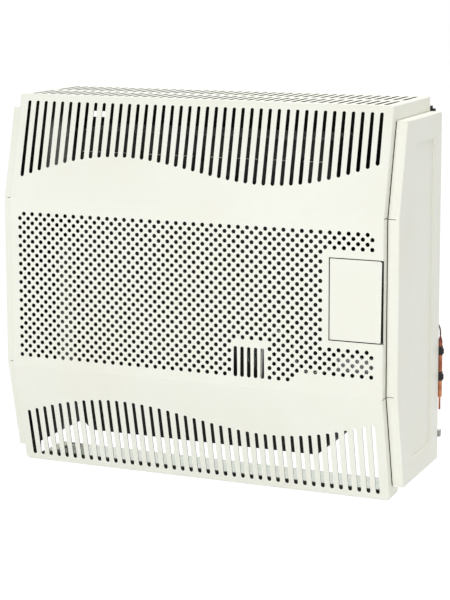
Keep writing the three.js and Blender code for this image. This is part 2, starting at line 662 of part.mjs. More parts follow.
// Fixed to the back plate's rear; its tongue hangs in the wall rail's J.
function hangingHook() {
  const front = REAR + FIT;
  const inner = front + RAIL_SHEET;
  const arm = RAIL_BOTTOM + RAIL_LIP + FIT;
  const tongue = -RAIL_SHEET - 2 * FIT;
  const tongueEnd = arm - RAIL_LIP + 4;
  const outline = [
    [front, arm - 24],
    [front, arm + 34],
    [inner, arm + 34],
    [inner, arm + RAIL_SHEET],
    [tongue, arm + RAIL_SHEET],
    [tongue, tongueEnd],
    [tongue - RAIL_SHEET, tongueEnd],
    [tongue - RAIL_SHEET, arm],
    [inner, arm],
    [inner, arm - 24],
  ];
  return prism('x', outline, -HOOK_WIDTH / 2, HOOK_WIDTH / 2);
}

// A tray between the side frames that the cover's lower edge is screwed to.
function bottomTray() {
  const { front, rear, lift, leg, legDepth, curb } = BOTTOM_TRAY;
  const outer = WEB - FIT;
  const bottom = SHEET + FIT;
  const floor = block([-outer, outer], [FRONT + front, FRONT + rear], [bottom, bottom + lift]);
  const rim = block([-outer, outer], [FRONT + rear - SHEET, FRONT + rear], [bottom, bottom + curb]);
  const side = block([outer - SHEET, outer], [FRONT + front, FRONT + front + legDepth], [bottom, leg]);
  const holes = [-1, 1].map((sign) =>
    rod('z', [sign * COVER_SCREW_X, COVER_SCREW_Y], SCREW_SHANK + FIT, 0, bottom + lift + 1, 8));
  return join(floor, rim, side, mirrored(side)).subtract(join(holes));
}

// ---------------------------------------------------------------- fasteners

// Hexagon head below, shank upwards, seated at z = 0.
function screw(length) {
  const head = rod('z', [0, 0], SCREW_HEAD, -FIT - SCREW_HEAD_HEIGHT, -FIT, 6);
  return head.add(rod('z', [0, 0], SCREW_SHANK, -FIT - 1, length, 8));
}

// ---------------------------------------------------------------- combustion chamber

const ribX = (index) => (index - (RIB_COUNT - 1) / 2) * RIB_PITCH;

// Upright rib pressed out of the front wall, as its (x, y) section moved inwards by inset.
function ribSection(x, inset) {
  const foot = RIB_WIDTH / 2 - inset;
  const crest = RIB_WIDTH / 4 - inset / 2;
  const base = CHAMBER_FRONT + CHAMBER_WALL;
  const top = CHAMBER_FRONT - RIB_DEPTH + inset;
  return [[x - foot, base], [x - crest, top], [x + crest, top], [x + foot, base]];
}

// The chamber seen from the front, moved inwards by inset.
function chamberOutline(inset) {
  const half = CHAMBER_WIDTH / 2 - inset;
  const [bottom, top] = [CHAMBER_BOTTOM + inset, CHAMBER_TOP - inset];
  const corner = CHAMBER_CORNER - inset * (2 - Math.SQRT2);
  return [[corner - half, bottom], [half - corner, bottom], [half, bottom + corner], [half, top],
    [-half, top], [-half, bottom + corner]];
}

function combustionChamber() {
  const wall = CHAMBER_WALL;
  const shell = prism('y', chamberOutline(0), CHAMBER_FRONT, CHAMBER_REAR);
  const hollow = prism('y', chamberOutline(wall), CHAMBER_FRONT + wall, CHAMBER_REAR - wall);
  const places = Array.from({ length: RIB_COUNT }, (_, i) => ribX(i));
  const ribs = places.map((x) => prism('z', ribSection(x, 0), RIB_BOTTOM, RIB_TOP));
  const ribHollows = places.map((x) => prism('z', ribSection(x, wall), RIB_BOTTOM + wall, RIB_TOP - wall));
  const { left, right, bottom, top, lap } = ACCESS;
  const access = block([left + lap, right - lap], [CHAMBER_FRONT - 1, CHAMBER_FRONT + wall + 1],
    [bottom + lap, top - lap]);
  const rear = [CHAMBER_REAR - 2 * wall, CHAMBER_REAR + 1];
  const exhaust = rod('y', [0, FLUE_HEIGHT], EXHAUST_RADIUS + FIT, ...rear, 20);
  const portHalf = AIR_PORT.width / 2;
  const air = block([-portHalf, portHalf], rear, [AIR_PORT.bottom, AIR_PORT.top]);
  const screws = ACCESS_SCREWS.map(accessHole);
  return join(shell, ribs).subtract(join(hollow, ribHollows))
    .subtract(join(access, exhaust, air, screws));
}

function accessHole(at) {
  return rod('y', at, SCREW_SHANK + FIT, CHAMBER_FRONT - BEYOND, CHAMBER_FRONT + BEYOND, 8);
}

// A channel between the chamber and the back plate, right.
function chamberStand() {
  const [front, rear] = [CHAMBER_REAR + FIT, REAR - SHEET - FIT];
  const [web, edge] = [STAND_X, STAND_X + STAND_FLANGE];
  const outline = [
    [web, front],
    [edge, front],
    [edge, front + RAIL_SHEET],
    [web + RAIL_SHEET, front + RAIL_SHEET],
    [web + RAIL_SHEET, rear - RAIL_SHEET],
    [edge, rear - RAIL_SHEET],
    [edge, rear],
    [web, rear],
  ];
  return prism('z', outline, CHAMBER_BOTTOM + 40, CHAMBER_TOP - 35);
}

// Hangs from the chamber's top wall, in front of the exhaust.
function flueBaffle() {
  const half = BAFFLE.width / 2;
  const top = CHAMBER_TOP - CHAMBER_WALL - FIT;
  const front = CHAMBER_REAR - CHAMBER_WALL - BAFFLE.depth;
  const plate = block([-half, half], [front, front + BAFFLE.sheet], [BAFFLE.bottom, top]);
  return plate.add(block([-half, half], [front, front + BAFFLE.depth - 3], [top - BAFFLE.sheet, top]));
}

// ---------------------------------------------------------------- flue connection

// A pipe end with a flange, [flange from, flange to] along y.
function collar(radius, start, flange) {
  const pipe = ring('y', [0, FLUE_HEIGHT], radius - COLLAR_WALL, radius, start, COLLAR_END);
  return pipe.add(ring('y', [0, FLUE_HEIGHT], radius - COLLAR_WALL, radius + COLLAR_FLANGE, ...flange));
}

function exhaustCollar() {
  const seat = CHAMBER_REAR + FIT;
  return collar(EXHAUST_RADIUS, CHAMBER_REAR - CHAMBER_WALL - 5, [seat, seat + COLLAR_WALL]);
}

function airCollar() {
  const seat = REAR - SHEET - 2 * FIT - SHEET;
  return collar(AIR_RADIUS, seat - COLLAR_WALL, [seat - COLLAR_WALL, seat]);
}

// Leads the air from the outer pipe down behind the chamber to its air port.
function airBox() {
  const half = AIR_BOX.width / 2;
  const [front, rear] = [CHAMBER_REAR + FIT, REAR - SHEET - FIT];
  const shell = block([-half, half], [front, rear], [AIR_BOX.bottom, AIR_BOX.top]);
  const hollow = block([SHEET - half, half - SHEET], [front - 1, rear - SHEET],
    [AIR_BOX.bottom + SHEET, AIR_BOX.top - SHEET]);
  const opening = rod('y', [0, FLUE_HEIGHT], AIR_RADIUS + FIT, rear - BEYOND, rear + 1, 20);
  return shell.subtract(join(hollow, opening));
}

const flueSeal = () => ring('y', [0, FLUE_HEIGHT], SEAL.inner, SEAL.outer, REAR + FIT, -FIT);

// ---------------------------------------------------------------- access plate and sight glass

const gasketFront = CHAMBER_FRONT - FIT - GASKET;
const accessRear = gasketFront - FIT;
const accessFront = accessRear - ACCESS.sheet;

function accessPlate() {
  const { left, right, bottom, top } = ACCESS;
  const plate = prism('y', rounded(rectangle(left, right, bottom, top), 8, 2), accessFront, accessRear);
  const through = (at, radius, sides) => rod('y', at, radius, accessFront - 1, accessRear + 1, sides);
  const sight = through([SIGHT_SLOTS.x, SIGHT_Z], SIGHT_RADIUS, 20);
  const injector = through([INJECTOR.x, BURNER.z], INJECTOR.stem + FIT, 12);
  const entries = [PILOT_X, THERMOCOUPLE_X, ELECTRODE_X].map((x) =>
    through([x, LEAD_ENTRY_Z], LEAD_ENTRY_RADIUS, 8));
  return plate.subtract(join(sight, injector, entries, ACCESS_SCREWS.map(accessHole)));
}

function accessGasket() {
  const { left, right, bottom, top, lap } = ACCESS;
  const outline = rectangle(left + 2, right - 2, bottom + 2, top - 2);
  const outer = prism('y', outline, gasketFront, gasketFront + GASKET);
  const inner = block([left + lap - 2, right - lap + 2], [gasketFront - 1, gasketFront + GASKET + 1],
    [bottom + lap - 2, top - lap + 2]);
  return outer.subtract(inner).subtract(join(ACCESS_SCREWS.map(accessHole)));
}

const glassRear = accessFront - FIT;

const sightGlass = () =>
  rod('y', [SIGHT_SLOTS.x, SIGHT_Z], GLASS_RADIUS, glassRear - GLASS_THICKNESS, glassRear, 20);

function sightFrame() {
  const centre = [SIGHT_SLOTS.x, SIGHT_Z];
  const pocket = glassRear - GLASS_THICKNESS - FIT;
  const body = ring('y', centre, GLASS_RADIUS + FIT, GLASS_FRAME_RADIUS, pocket - 1, glassRear);
  return body.add(ring('y', centre, SIGHT_RADIUS - 1, GLASS_FRAME_RADIUS, pocket - RAIL_SHEET, pocket));
}

// ---------------------------------------------------------------- burner and pilot

function burnerTube() {
  const { y, z, radius, wall, left, right, ports } = BURNER;
  const tube = rod('x', [y, z], radius, left, right);
  const bore = rod('x', [y, z], radius - wall, left + wall, right + 1);
  const pitch = (right - left - 60) / ports;
  const slots = Array.from({ length: ports }, (_, i) => {
    const x = left + 25 + i * pitch;
    return block([x, x + 3], [y - 8, y + 8], [z + radius / 2, z + radius + 1]);
  });
  return tube.subtract(join(bore, slots));
}

// A plate round the burner tube with a foot against the access plate.
function burnerSupport() {
  const outline = rectangle(accessRear + FIT, BURNER.y + BURNER.radius + 4, ACCESS.bottom + ACCESS.lap + 1,
    BURNER.z + BURNER.radius + 4);
  const plate = prism('x', outline, -RAIL_SHEET / 2, RAIL_SHEET / 2);
  const foot = block([-16, RAIL_SHEET / 2], [accessRear + FIT, accessRear + FIT + RAIL_SHEET],
    [outline[0][1], outline[2][1]]);
  return plate.add(foot).subtract(rod('x', [BURNER.y, BURNER.z], BURNER.radius + FIT, -BEYOND, BEYOND));
}

// Elbow through the access plate, its nozzle pointing into the burner tube's mouth.
function burnerInjector() {
  const { x, stem, nozzle, block: size, front } = INJECTOR;
  const [z, half] = [BURNER.z, size / 2];
  const elbow = block([x - half, x + half], [front, front + size], [z - half, z + half]);
  const neck = rod('y', [x, z], stem, front + half, BURNER.y, 12);
  const tip = rod('x', [BURNER.y, z], nozzle, BURNER.right + 3, x, 12);
  return join(elbow, neck, rod('y', [x, z], stem, BURNER.y - 1, BURNER.y + stem, 12), tip);
}

function pilotBracket() {
  const rear = accessRear + FIT;
  const [left, right] = [PILOT_X - 22, ELECTRODE_X + 14];
  const shelf = block([left, right], [rear, PILOT_Y + 8], [PILOT_PLATE_Z, PILOT_PLATE_Z + RAIL_SHEET]);
  const flange = block([left, right], [rear, rear + RAIL_SHEET], [PILOT_PLATE_Z, PILOT_PLATE_Z + 22]);
  const hole = (x, radius) => rod('z', [x, PILOT_Y], radius + FIT, PILOT_PLATE_Z - 1, PILOT_PLATE_Z + 3, 10);
  const holes = [hole(PILOT_X, 4.5), hole(THERMOCOUPLE_X, 2.5), hole(ELECTRODE_X, 3)];
  return shelf.add(flange).subtract(join(holes));
}

function pilotBurner() {
  const body = rod('z', [PILOT_X, PILOT_Y], 4.5, PILOT_PLATE_Z - 10, PILOT_PLATE_Z + 22, 12);
  const hood = block([PILOT_X, PILOT_X + 9], [PILOT_Y - 3, PILOT_Y + 3],
    [PILOT_PLATE_Z + 19, PILOT_PLATE_Z + 22]);
  return body.add(hood);
}

function sparkElectrode() {
  const ceramic = rod('z', [ELECTRODE_X, PILOT_Y], 3, PILOT_PLATE_Z - 12, PILOT_PLATE_Z + 16, 12);
  const pin = rod('z', [ELECTRODE_X, PILOT_Y], 1, PILOT_PLATE_Z + 15, PILOT_PLATE_Z + 26, 8);
  const tip = rod('x', [PILOT_Y, PILOT_PLATE_Z + 25], 1, ELECTRODE_X - 14, ELECTRODE_X + 1, 8);
  return join(ceramic, pin, tip);
}

// Last stretch of a small line: through the access plate, then up.
const leadEnd = (x, top) => [
  [x, accessFront - 5, LEAD_ENTRY_Z - 3], [x, accessFront, LEAD_ENTRY_Z], [x, accessRear + 6, LEAD_ENTRY_Z],
  [x, PILOT_Y, LEAD_ENTRY_Z + 4], [x, PILOT_Y, top],
];

const leadStart = (offset) => [VALVE.x + offset, LEADS.y + 11, VALVE.bottom - FIT];

const pilotPipe = () => line([
  [VALVE.x - VALVE.width / 2 - FIT, VALVE.front + 10, VALVE.bottom + 10], ...PILOT_ROUTE,
  ...leadEnd(PILOT_X, PILOT_PLATE_Z - 10 - FIT)], PILOT_PIPE_RADIUS, 72);

function thermocouple() {
  const lead = line(
    [leadStart(-8), ...THERMOCOUPLE_ROUTE, ...leadEnd(THERMOCOUPLE_X, PILOT_PLATE_Z - 4)], 1.2, 32);
  return lead.add(rod('z', [THERMOCOUPLE_X, PILOT_Y], 2.5, PILOT_PLATE_Z - 7, PILOT_PLATE_Z + 27, 10));
}

const ignitionLead = () => line([
  [PIEZO.x, PIEZO.rear + 8 + FIT, PIEZO.z], ...IGNITION_ROUTE,
  ...leadEnd(ELECTRODE_X, PILOT_PLATE_Z - 12 - FIT)], 1.6, 44);

function burnerPipe() {
  const [reach, depth] = [INJECTOR.block / 2 + FIT, INJECTOR.front + INJECTOR.block / 2];
  const end = [VALVE.x - 20, VALVE.y - 11, VALVE.bottom - FIT];
  return line([[INJECTOR.x + reach, depth, BURNER.z], ...BURNER_ROUTE, end], 4, 16, 8);
}

// ---------------------------------------------------------------- gas valve and its controls

function gasValve() {
  const { x, y, width, front, rear, bottom, top } = VALVE;
  const half = width / 2;
  const bodyOutline = rounded(rectangle(x - half, x + half, front, rear), 8, 2);
  const body = prism('z', bodyOutline, bottom, top);
  const flange = rod('z', [x, y], 26, top - 1, top + 5, 20);
  const neck = rod('z', [x, y], 14, top, VALVE_NECK_TOP);
  const boss = rod('y', [x - 4, (bottom + top) / 2], 15, front - 6, front + 4);
  const boreBottom = SPINDLE_BOTTOM - KNOB_PUSH - 4;
  const bore = rod('z', [x, y], SPINDLE_RADIUS + 2 * FIT, boreBottom, VALVE_NECK_TOP + 1);
  return join(body, flange, neck, boss).subtract(bore);
}

function valveBracket() {
  const [front, rear] = [VALVE.rear + FIT, VALVE.rear + FIT + RAIL_SHEET];
  const [left, outer] = [VALVE.x - VALVE.width / 2 - 6, WEB - FIT];
  const plate = block([left, outer], [front, rear], [VALVE.bottom - 6, VALVE.top + 4]);
  const flange = block([outer - RAIL_SHEET, outer], [front, front + 40], [VALVE.bottom - 6, VALVE.top + 4]);
  const hole = rod('y', [CAPILLARY_START.x, CAPILLARY_START.z], CAPILLARY_RADIUS + 2, front - 1, rear + 1, 8);
  return plate.add(flange).subtract(hole);
}

function gasInletPipe() {
  const route = INLET_ROUTE.map(([x, y, z]) => [INLET.x + x, INLET.y + y, z]);
  const start = [route[0][0], route[0][1], VALVE.bottom - FIT];
  return line([start, ...route, [INLET.x, INLET.y, INLET.bottom + INLET.nut + FIT]], INLET.pipe, 14, 10);
}

function inletNut() {
  const { x, y, bottom, nut, bore } = INLET;
  return rod('z', [x, y], 14, bottom, bottom + nut, 6)
    .subtract(rod('z', [x, y], bore, bottom - 1, bottom + nut - 4, 12));
}

const thermostatCapillary = () => line([
  [CAPILLARY_START.x, VALVE.rear + FIT, CAPILLARY_START.z], ...CAPILLARY_ROUTE,
  [BULB.x, BULB.y, BULB.top + BULB.cone + FIT]], CAPILLARY_RADIUS, 28);

// Sensing bulb with a tapered head, on z from its lower shoulder.
function thermostatBulb() {
  const { radius, bottom, top, cone, tail, tailRadius } = BULB;
  const length = top - bottom;
  return turned([[0, -tail], [tailRadius, -tail], [tailRadius, 0], [radius, 3], [radius, length],
    [CAPILLARY_RADIUS, length + cone], [0, length + cone]], 12);
}

// Snap clip round the bulb, open towards the wall, with a foot along the casing's rear.
function bulbClip() {
  const bore = BULB.radius + CLIP.clearance;
  const outer = bore + CLIP.wall;
  const front = REAR + FIT - BULB.y;
  const foot = block([-CLIP.foot, 0], [front, front + RAIL_SHEET], [-CLIP.height / 2, CLIP.height / 2]);
  const ear = block([0, CLIP.ear], [front, front + 2], [-CLIP.height / 2 + 3, CLIP.height / 2 - 3]);
  const barrel = rod('z', [0, 0], outer, -CLIP.height / 2, CLIP.height / 2, 12);
  const mouth = block([-2, 2], [0, 2 * outer], [-CLIP.height, CLIP.height]);
  const inside = rod('z', [0, 0], bore, -CLIP.height, CLIP.height, 12);
  return join(foot, ear, barrel).subtract(join(inside, mouth));
}

// Turned by the knob, over the valve's neck; the knob and spindle slide in it.
const dialBush = () => ring('z', [0, 0], BUSH.inner, BUSH.outer, 0, BUSH.height, 16);

const controlSpindle = () => rod('z', [0, 0], SPINDLE_RADIUS, SPINDLE_BOTTOM, SPINDLE_TOP, 16);

function controlKnob() {
  const { radius, bottom, top, recess, recessRadius, flutes } = KNOB;
  const height = top - bottom;
  const body = turned([[0, 0], [radius, 0], [radius, 5], [radius - 2, 8], [radius - 3, height - 3],
    [radius - 6, height], [0, height]], 24);
  const grooves = circle(0, 0, radius - 1, flutes).map((at) => rod('z', at, 2, 8, height + 1, 6));
  const under = rod('z', [0, 0], recessRadius, -1, recess);
  const bore = rod('z', [0, 0], SPINDLE_RADIUS + FIT, -1, SPINDLE_TOP - bottom + FIT);
  return body.subtract(join(grooves)).subtract(join(under, bore));
}

function controlBracket() {
  const { x, z, radius, front, collar } = PIEZO;
  const face = front + collar / 2;
  const outer = WEB - FIT;
  const plate = block([x - radius - 6, outer], [face, face + RAIL_SHEET], [z - 35, z + 32]);
  const flange = block([outer - RAIL_SHEET, outer], [face, face + 28], [z - 35, z + 32]);
  return plate.add(flange).subtract(rod('y', [x, z], radius + FIT, face - 1, face + 3));
}

function piezoIgniter() {
  const { radius, front, rear, collar } = PIEZO;
  const body = rod('y', [0, 0], radius, front, rear);
  const nut = rod('y', [0, 0], collar, front + 2, front + collar / 2 - FIT, 12);
  const terminal = rod('y', [0, 0], 3, rear - 1, rear + 8, 8);
  const bore = rod('y', [0, 0], BUTTON.radius + FIT, front - 1, BUTTON.rear + BUTTON.travel + 1);
  return join(body, nut, terminal).subtract(bore);
}

function piezoButton() {
  const { radius, front, rear } = BUTTON;
  const length = rear - front;
  return turned([[0, 0], [radius, 0], [radius, length - 2], [radius - 2, length], [0, length]], 16)
    .rotate([90, 0, 0]).translate([0, rear, 0]);
}

// ---------------------------------------------------------------- control door, on the right corner

const hinge = [HALF_WIDTH - DOOR_BARREL_RADIUS, FRONT + DOOR_BARREL_RADIUS];
const doorBottom = DOOR_BOTTOM + DOOR_GAP;
const doorTop = DOOR_TOP - DOOR_GAP;

// The sheet's right edge is rolled round the hinge pin.
function controlDoor() {
  const plate = block([DOOR_LEFT + DOOR_GAP, hinge[0]], [FRONT, FRONT + SHEET], [doorBottom, doorTop]);
  const barrel = rod('z', hinge, DOOR_BARREL_RADIUS, doorBottom, doorTop, 12);
  const bore = rod('z', hinge, DOOR_BARREL_RADIUS - SHEET, doorBottom - 1, doorTop + 1, 12);
  return plate.add(barrel).subtract(bore);
}

const lugGap = SHEET + FIT;

function doorPin() {
  const beyond = lugGap + LUG_HEIGHT;
  return rod('z', hinge, DOOR_PIN_RADIUS, DOOR_BOTTOM - beyond, DOOR_TOP + beyond, 12);
}

// Holds the pin's end in the folded corner of the cover.
function doorLug() {
  const [outer, front] = [HALF_WIDTH - SHEET - FIT, FRONT + SHEET + FIT];
  const lug = block([outer - LUG_SIZE, outer], [front, front + LUG_SIZE], [0, LUG_HEIGHT]);
  const room = DOOR_PIN_RADIUS + FIT;
  const notch = block([hinge[0] - room, outer + 1], [front - 1, hinge[1] + room], [-1, LUG_HEIGHT + 1]);
  return lug.subtract(notch);
}

function doorMagnet() {
  const { width, depth, height, overlap } = MAGNET;
  const right = DOOR_LEFT + overlap;
  const front = FRONT + SHEET + FIT;
  const middle = (DOOR_BOTTOM + DOOR_TOP) / 2;
  return block([right - width, right], [front, front + depth], [middle - height / 2, middle + height / 2]);
}

// ---------------------------------------------------------------- finishes

const finish = (color, roughness, metalness) => ({ color, roughness, metalness });
const ENAMEL = finish(0xf2f3ea, 0.45, 0);
const GALVANISED = finish(0x9aa39c, 0.5, 0.7);
const BLACK_STEEL = finish(0x1c1f26, 0.55, 0.2);
const CHAMBER_ENAMEL = finish(0x17181a, 0.6, 0.1);
const STEEL = finish(0xb9bdc0, 0.4, 0.9);
const ALUMINIUM = finish(0xb4b8bc, 0.45, 0.85);
const BRASS = finish(0xb8924a, 0.4, 0.9);
const COPPER = finish(0xbb6a3c, 0.4, 0.9);
const FIBRE = finish(0xd8d4c8, 0.95, 0);
const RUBBER = finish(0x2a2b2c, 0.85, 0);
const BLACK_PLASTIC = finish(0x1b1c1e, 0.5, 0);
const RED_PLASTIC = finish(0xa8261c, 0.45, 0);
const CERAMIC = finish(0xe9e6dc, 0.5, 0);
const GLASS = finish(0xc9d6d4, 0.1, 0);

// ---------------------------------------------------------------- assembly

const heater = new THREE.Group();
heater.position.z = -ORIGIN_HEIGHT;

function add(name, body, { color, roughness, metalness }, position = [0, 0, 0]) {
  const material = new THREE.MeshStandardMaterial({ color, roughness, metalness });
  const mesh = new THREE.Mesh(geometryOf(body), material);
  mesh.name = name;
  mesh.position.set(...position);
  heater.add(mesh);
  return mesh;
}

function addPair(name, body, look) {
  add(`${name}_right`, body, look);
  add(`${name}_left`, mirrored(body), look);
}

add('front_cover', frontCover(), ENAMEL);
addPair('side_panel', sidePanel(), ENAMEL);
addPair('side_frame', sideFrame(), GALVANISED);
add('back_plate', backPlate(), GALVANISED);
add('wall_rail', wallRail(), BLACK_STEEL);
add('lower_wall_rail', lowerWallRail(), GALVANISED);
add('hanging_hook_left', hangingHook(), GALVANISED, [-HOOK_X, 0, 0]);
add('hanging_hook_right', hangingHook(), GALVANISED, [HOOK_X, 0, 0]);
add('bottom_tray', bottomTray(), GALVANISED);
add('cover_screw_left', screw(COVER_SCREW_LENGTH), STEEL, [-COVER_SCREW_X, COVER_SCREW_Y, 0]);
add('cover_screw_right', screw(COVER_SCREW_LENGTH), STEEL, [COVER_SCREW_X, COVER_SCREW_Y, 0]);

add('combustion_chamber', combustionChamber(), CHAMBER_ENAMEL);
addPair('chamber_stand', chamberStand(), GALVANISED);
add('flue_baffle', flueBaffle(), STEEL);
add('exhaust_collar', exhaustCollar(), ALUMINIUM);
add('air_collar', airCollar(), GALVANISED);
add('air_box', airBox(), GALVANISED);
add('flue_seal', flueSeal(), RUBBER);

add('access_plate', accessPlate(), CHAMBER_ENAMEL);
add('access_gasket', accessGasket(), FIBRE);
ACCESS_SCREWS.forEach(([x, z], i) => {
  const mesh = add(`access_screw_${i + 1}`, screw(ACCESS_SCREW_LENGTH), STEEL, [x, accessFront, z]);
  mesh.rotation.x = -Math.PI / 2;
});
add('sight_glass', sightGlass(), GLASS);
add('sight_glass_frame', sightFrame(), STEEL);

add('burner_tube', burnerTube(), STEEL);
BURNER_SUPPORT_X.forEach((x, i) => {
  add(`burner_support_${['left', 'right'][i]}`, burnerSupport(), STEEL, [x, 0, 0]);
});
add('burner_injector', burnerInjector(), BRASS);
add('pilot_bracket', pilotBracket(), STEEL);
add('pilot_burner', pilotBurner(), BRASS);
add('spark_electrode', sparkElectrode(), CERAMIC);
add('thermocouple', thermocouple(), COPPER);
add('pilot_pipe', pilotPipe(), ALUMINIUM);
add('ignition_lead', ignitionLead(), RUBBER);
add('burner_pipe', burnerPipe(), ALUMINIUM);

add('gas_valve', gasValve(), ALUMINIUM);
add('valve_bracket', valveBracket(), GALVANISED);
add('gas_inlet_pipe', gasInletPipe(), STEEL);
add('inlet_nut', inletNut(), BRASS);
add('thermostat_capillary', thermostatCapillary(), COPPER);
add('thermostat_bulb', thermostatBulb(), COPPER, [BULB.x, BULB.y, BULB.bottom]);
CLIP_HEIGHTS.forEach((z, i) => {
  add(`bulb_clip_${['upper', 'lower'][i]}`, bulbClip(), BLACK_PLASTIC, [BULB.x, BULB.y, z]);
});
add('dial_bush', dialBush(), BRASS, [VALVE.x, VALVE.y, VALVE_NECK_TOP + FIT]);
add('control_spindle', controlSpindle(), STEEL, [VALVE.x, VALVE.y, 0]);
add('control_knob', controlKnob(), BLACK_PLASTIC, [VALVE.x, VALVE.y, KNOB.bottom]);
add('control_bracket', controlBracket(), GALVANISED);
add('piezo_igniter', piezoIgniter(), BLACK_PLASTIC, [PIEZO.x, 0, PIEZO.z]);
add('piezo_button', piezoButton(), RED_PLASTIC, [PIEZO.x, 0, PIEZO.z]);

add('control_door', controlDoor(), ENAMEL);
add('door_hinge_pin', doorPin(), STEEL);
add('door_lug_upper', doorLug(), STEEL, [0, 0, DOOR_TOP + lugGap]);
add('door_lug_lower', doorLug(), STEEL, [0, 0, DOOR_BOTTOM - lugGap - LUG_HEIGHT]);
add('door_magnet', doorMagnet(), BLACK_PLASTIC);

const part = new THREE.Group();
part.add(heater);

export default part;
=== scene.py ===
import json
import math

import bmesh
import bpy
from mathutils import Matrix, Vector


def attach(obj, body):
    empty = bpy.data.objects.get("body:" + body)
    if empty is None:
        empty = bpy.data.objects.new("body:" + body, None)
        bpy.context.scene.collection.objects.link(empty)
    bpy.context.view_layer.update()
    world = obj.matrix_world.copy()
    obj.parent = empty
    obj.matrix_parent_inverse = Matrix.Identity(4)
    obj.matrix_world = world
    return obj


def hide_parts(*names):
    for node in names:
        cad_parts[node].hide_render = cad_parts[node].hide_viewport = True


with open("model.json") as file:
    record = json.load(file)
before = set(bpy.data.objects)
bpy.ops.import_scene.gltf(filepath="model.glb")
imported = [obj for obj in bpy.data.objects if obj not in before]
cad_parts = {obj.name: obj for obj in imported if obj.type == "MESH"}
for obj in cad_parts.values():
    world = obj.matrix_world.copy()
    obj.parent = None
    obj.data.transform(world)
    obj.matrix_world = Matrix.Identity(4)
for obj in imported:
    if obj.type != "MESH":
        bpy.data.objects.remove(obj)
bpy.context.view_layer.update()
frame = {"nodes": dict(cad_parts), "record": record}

# Sizes are in millimetres: x to the right, y into the wall with the wall at 0, and heights from
# the cover's lower edge. place() turns them into the frame's metres.
MM = 0.001
ORIGIN_HEIGHT = 594
REAR, FRONT = -10, -250
COVER_HALF, COVER_HEIGHT, COVER_REAR = 330, 633, -12.7
LOWER_KNEE, UPPER_KNEE = 174.5, 461
LOWER_LEAN, UPPER_LEAN = 42, 45
SHEET = 1.2
RIM, TOP_RIM, FOOT_HEIGHT, FOOT_DEPTH, RETURN = 16, 26, 21, 85, 14
PITCH = 15.56
HALF_PITCH = PITCH / 2
PANEL_INNER, PANEL_FACE, PANEL_BOTTOM, PANEL_TOP = 331.5, 350, 21, 609
HINGE = (327, -247)
VALVE = (270, -183)
PIEZO = (299, 355)
INLET = (285, -80)
BULB = (351, -5)
FLUE_HEIGHT = 380
SIGHT = (104.1, 216)
COVER_SCREW = (304, FRONT + 50)
BEYOND = 20


def place(x, y, z):
    return Vector((x, y, z - ORIGIN_HEIGHT)) * MM


def millimetres(point):
    x, y, z = point / MM
    return Vector((x, y, z + ORIGIN_HEIGHT))


# ---- working in the viewport

def activate(*pieces):
    bpy.ops.object.select_all(action="DESELECT")
    for piece in pieces:
        piece.select_set(True)
    bpy.context.view_layer.objects.active = pieces[0]


def settle(piece):
    """Leaves the piece's object at the origin, with its place in its mesh."""
    activate(piece)
    bpy.ops.object.transform_apply(location=True, rotation=True, scale=True)
    return piece


def named(name):
    piece = bpy.context.object
    piece.name = piece.data.name = name
    return settle(piece)


def block(name, x, y, z):
    bpy.ops.object.select_all(action="DESELECT")
    low, high = place(x[0], y[0], z[0]), place(x[1], y[1], z[1])
    bpy.ops.mesh.primitive_cube_add(size=1, location=(low + high) / 2, scale=high - low)
    return named(name)


AXIS_TURNS = {"x": (0, math.pi / 2, 0), "y": (math.pi / 2, 0, 0), "z": (0, 0, 0)}


def bar(name, axis, centre, radius, span, sides=32):
    """A round bar along an axis. The centre is given in the plane across it."""
    bpy.ops.object.select_all(action="DESELECT")
    middle = list(centre)
    middle.insert("xyz".index(axis), (span[0] + span[1]) / 2)
    bpy.ops.mesh.primitive_cylinder_add(
        vertices=sides, radius=radius * MM, depth=abs(span[1] - span[0]) * MM,
        location=place(*middle), rotation=AXIS_TURNS[axis])
    return named(name)


def choose(piece, kind, test):
    """Opens the piece in edit mode with only what passes the test selected."""
    activate(piece)
    bpy.ops.object.mode_set(mode="EDIT")
    bpy.ops.mesh.select_mode(type=kind)
    bpy.ops.mesh.select_all(action="DESELECT")
    mesh = bmesh.from_edit_mesh(piece.data)
    for element in {"VERT": mesh.verts, "EDGE": mesh.edges, "FACE": mesh.faces}[kind]:
        if test(element):
            element.select_set(True)
    bmesh.update_edit_mesh(piece.data)


def work(piece, kind, test, operator, **settings):
    """One edit-mode tool on what passes the test."""
    choose(piece, kind, test)
    operator(**settings)
    bpy.ops.object.mode_set(mode="OBJECT")
    return piece


def everything(element):
    return True


def corner(vertex):
    return millimetres(vertex.co)


def middle(edge):
    return millimetres((edge.verts[0].co + edge.verts[1].co) / 2)


def along(edge, axis):
    run = edge.verts[1].co - edge.verts[0].co
    return abs(run.normalized()["xyz".index(axis)]) > 0.999


def bends(edge, least):
    """True where the two faces beside an edge turn by more than a number of degrees."""
    return len(edge.link_faces) == 2 and math.degrees(edge.calc_face_angle()) > least


def round_edges(piece, test, radius, steps=3):
    return work(piece, "EDGE", test, bpy.ops.mesh.bevel, offset=radius * MM, segments=steps,
                affect="EDGES", clamp_overlap=True)


def split_across(piece, height):
    return work(piece, "FACE", everything, bpy.ops.mesh.bisect,
                plane_co=place(0, 0, height), plane_no=(0, 0, 1))


def shift(piece, test, move):
    return work(piece, "VERT", test, bpy.ops.transform.translate, value=Vector(move) * MM)


def put_out(piece, test, move):
    """Extrudes the faces that pass the test."""
    return work(piece, "FACE", test, bpy.ops.mesh.extrude_region_move,
                TRANSFORM_OT_translate={"value": Vector(move) * MM})


def remove_faces(piece, test):
    return work(piece, "FACE", test, bpy.ops.mesh.delete, type="FACE")


def face_outwards(piece):
    work(piece, "VERT", everything, bpy.ops.mesh.remove_doubles, threshold=0.00001)
    return work(piece, "FACE", everything, bpy.ops.mesh.normals_make_consistent, inside=False)


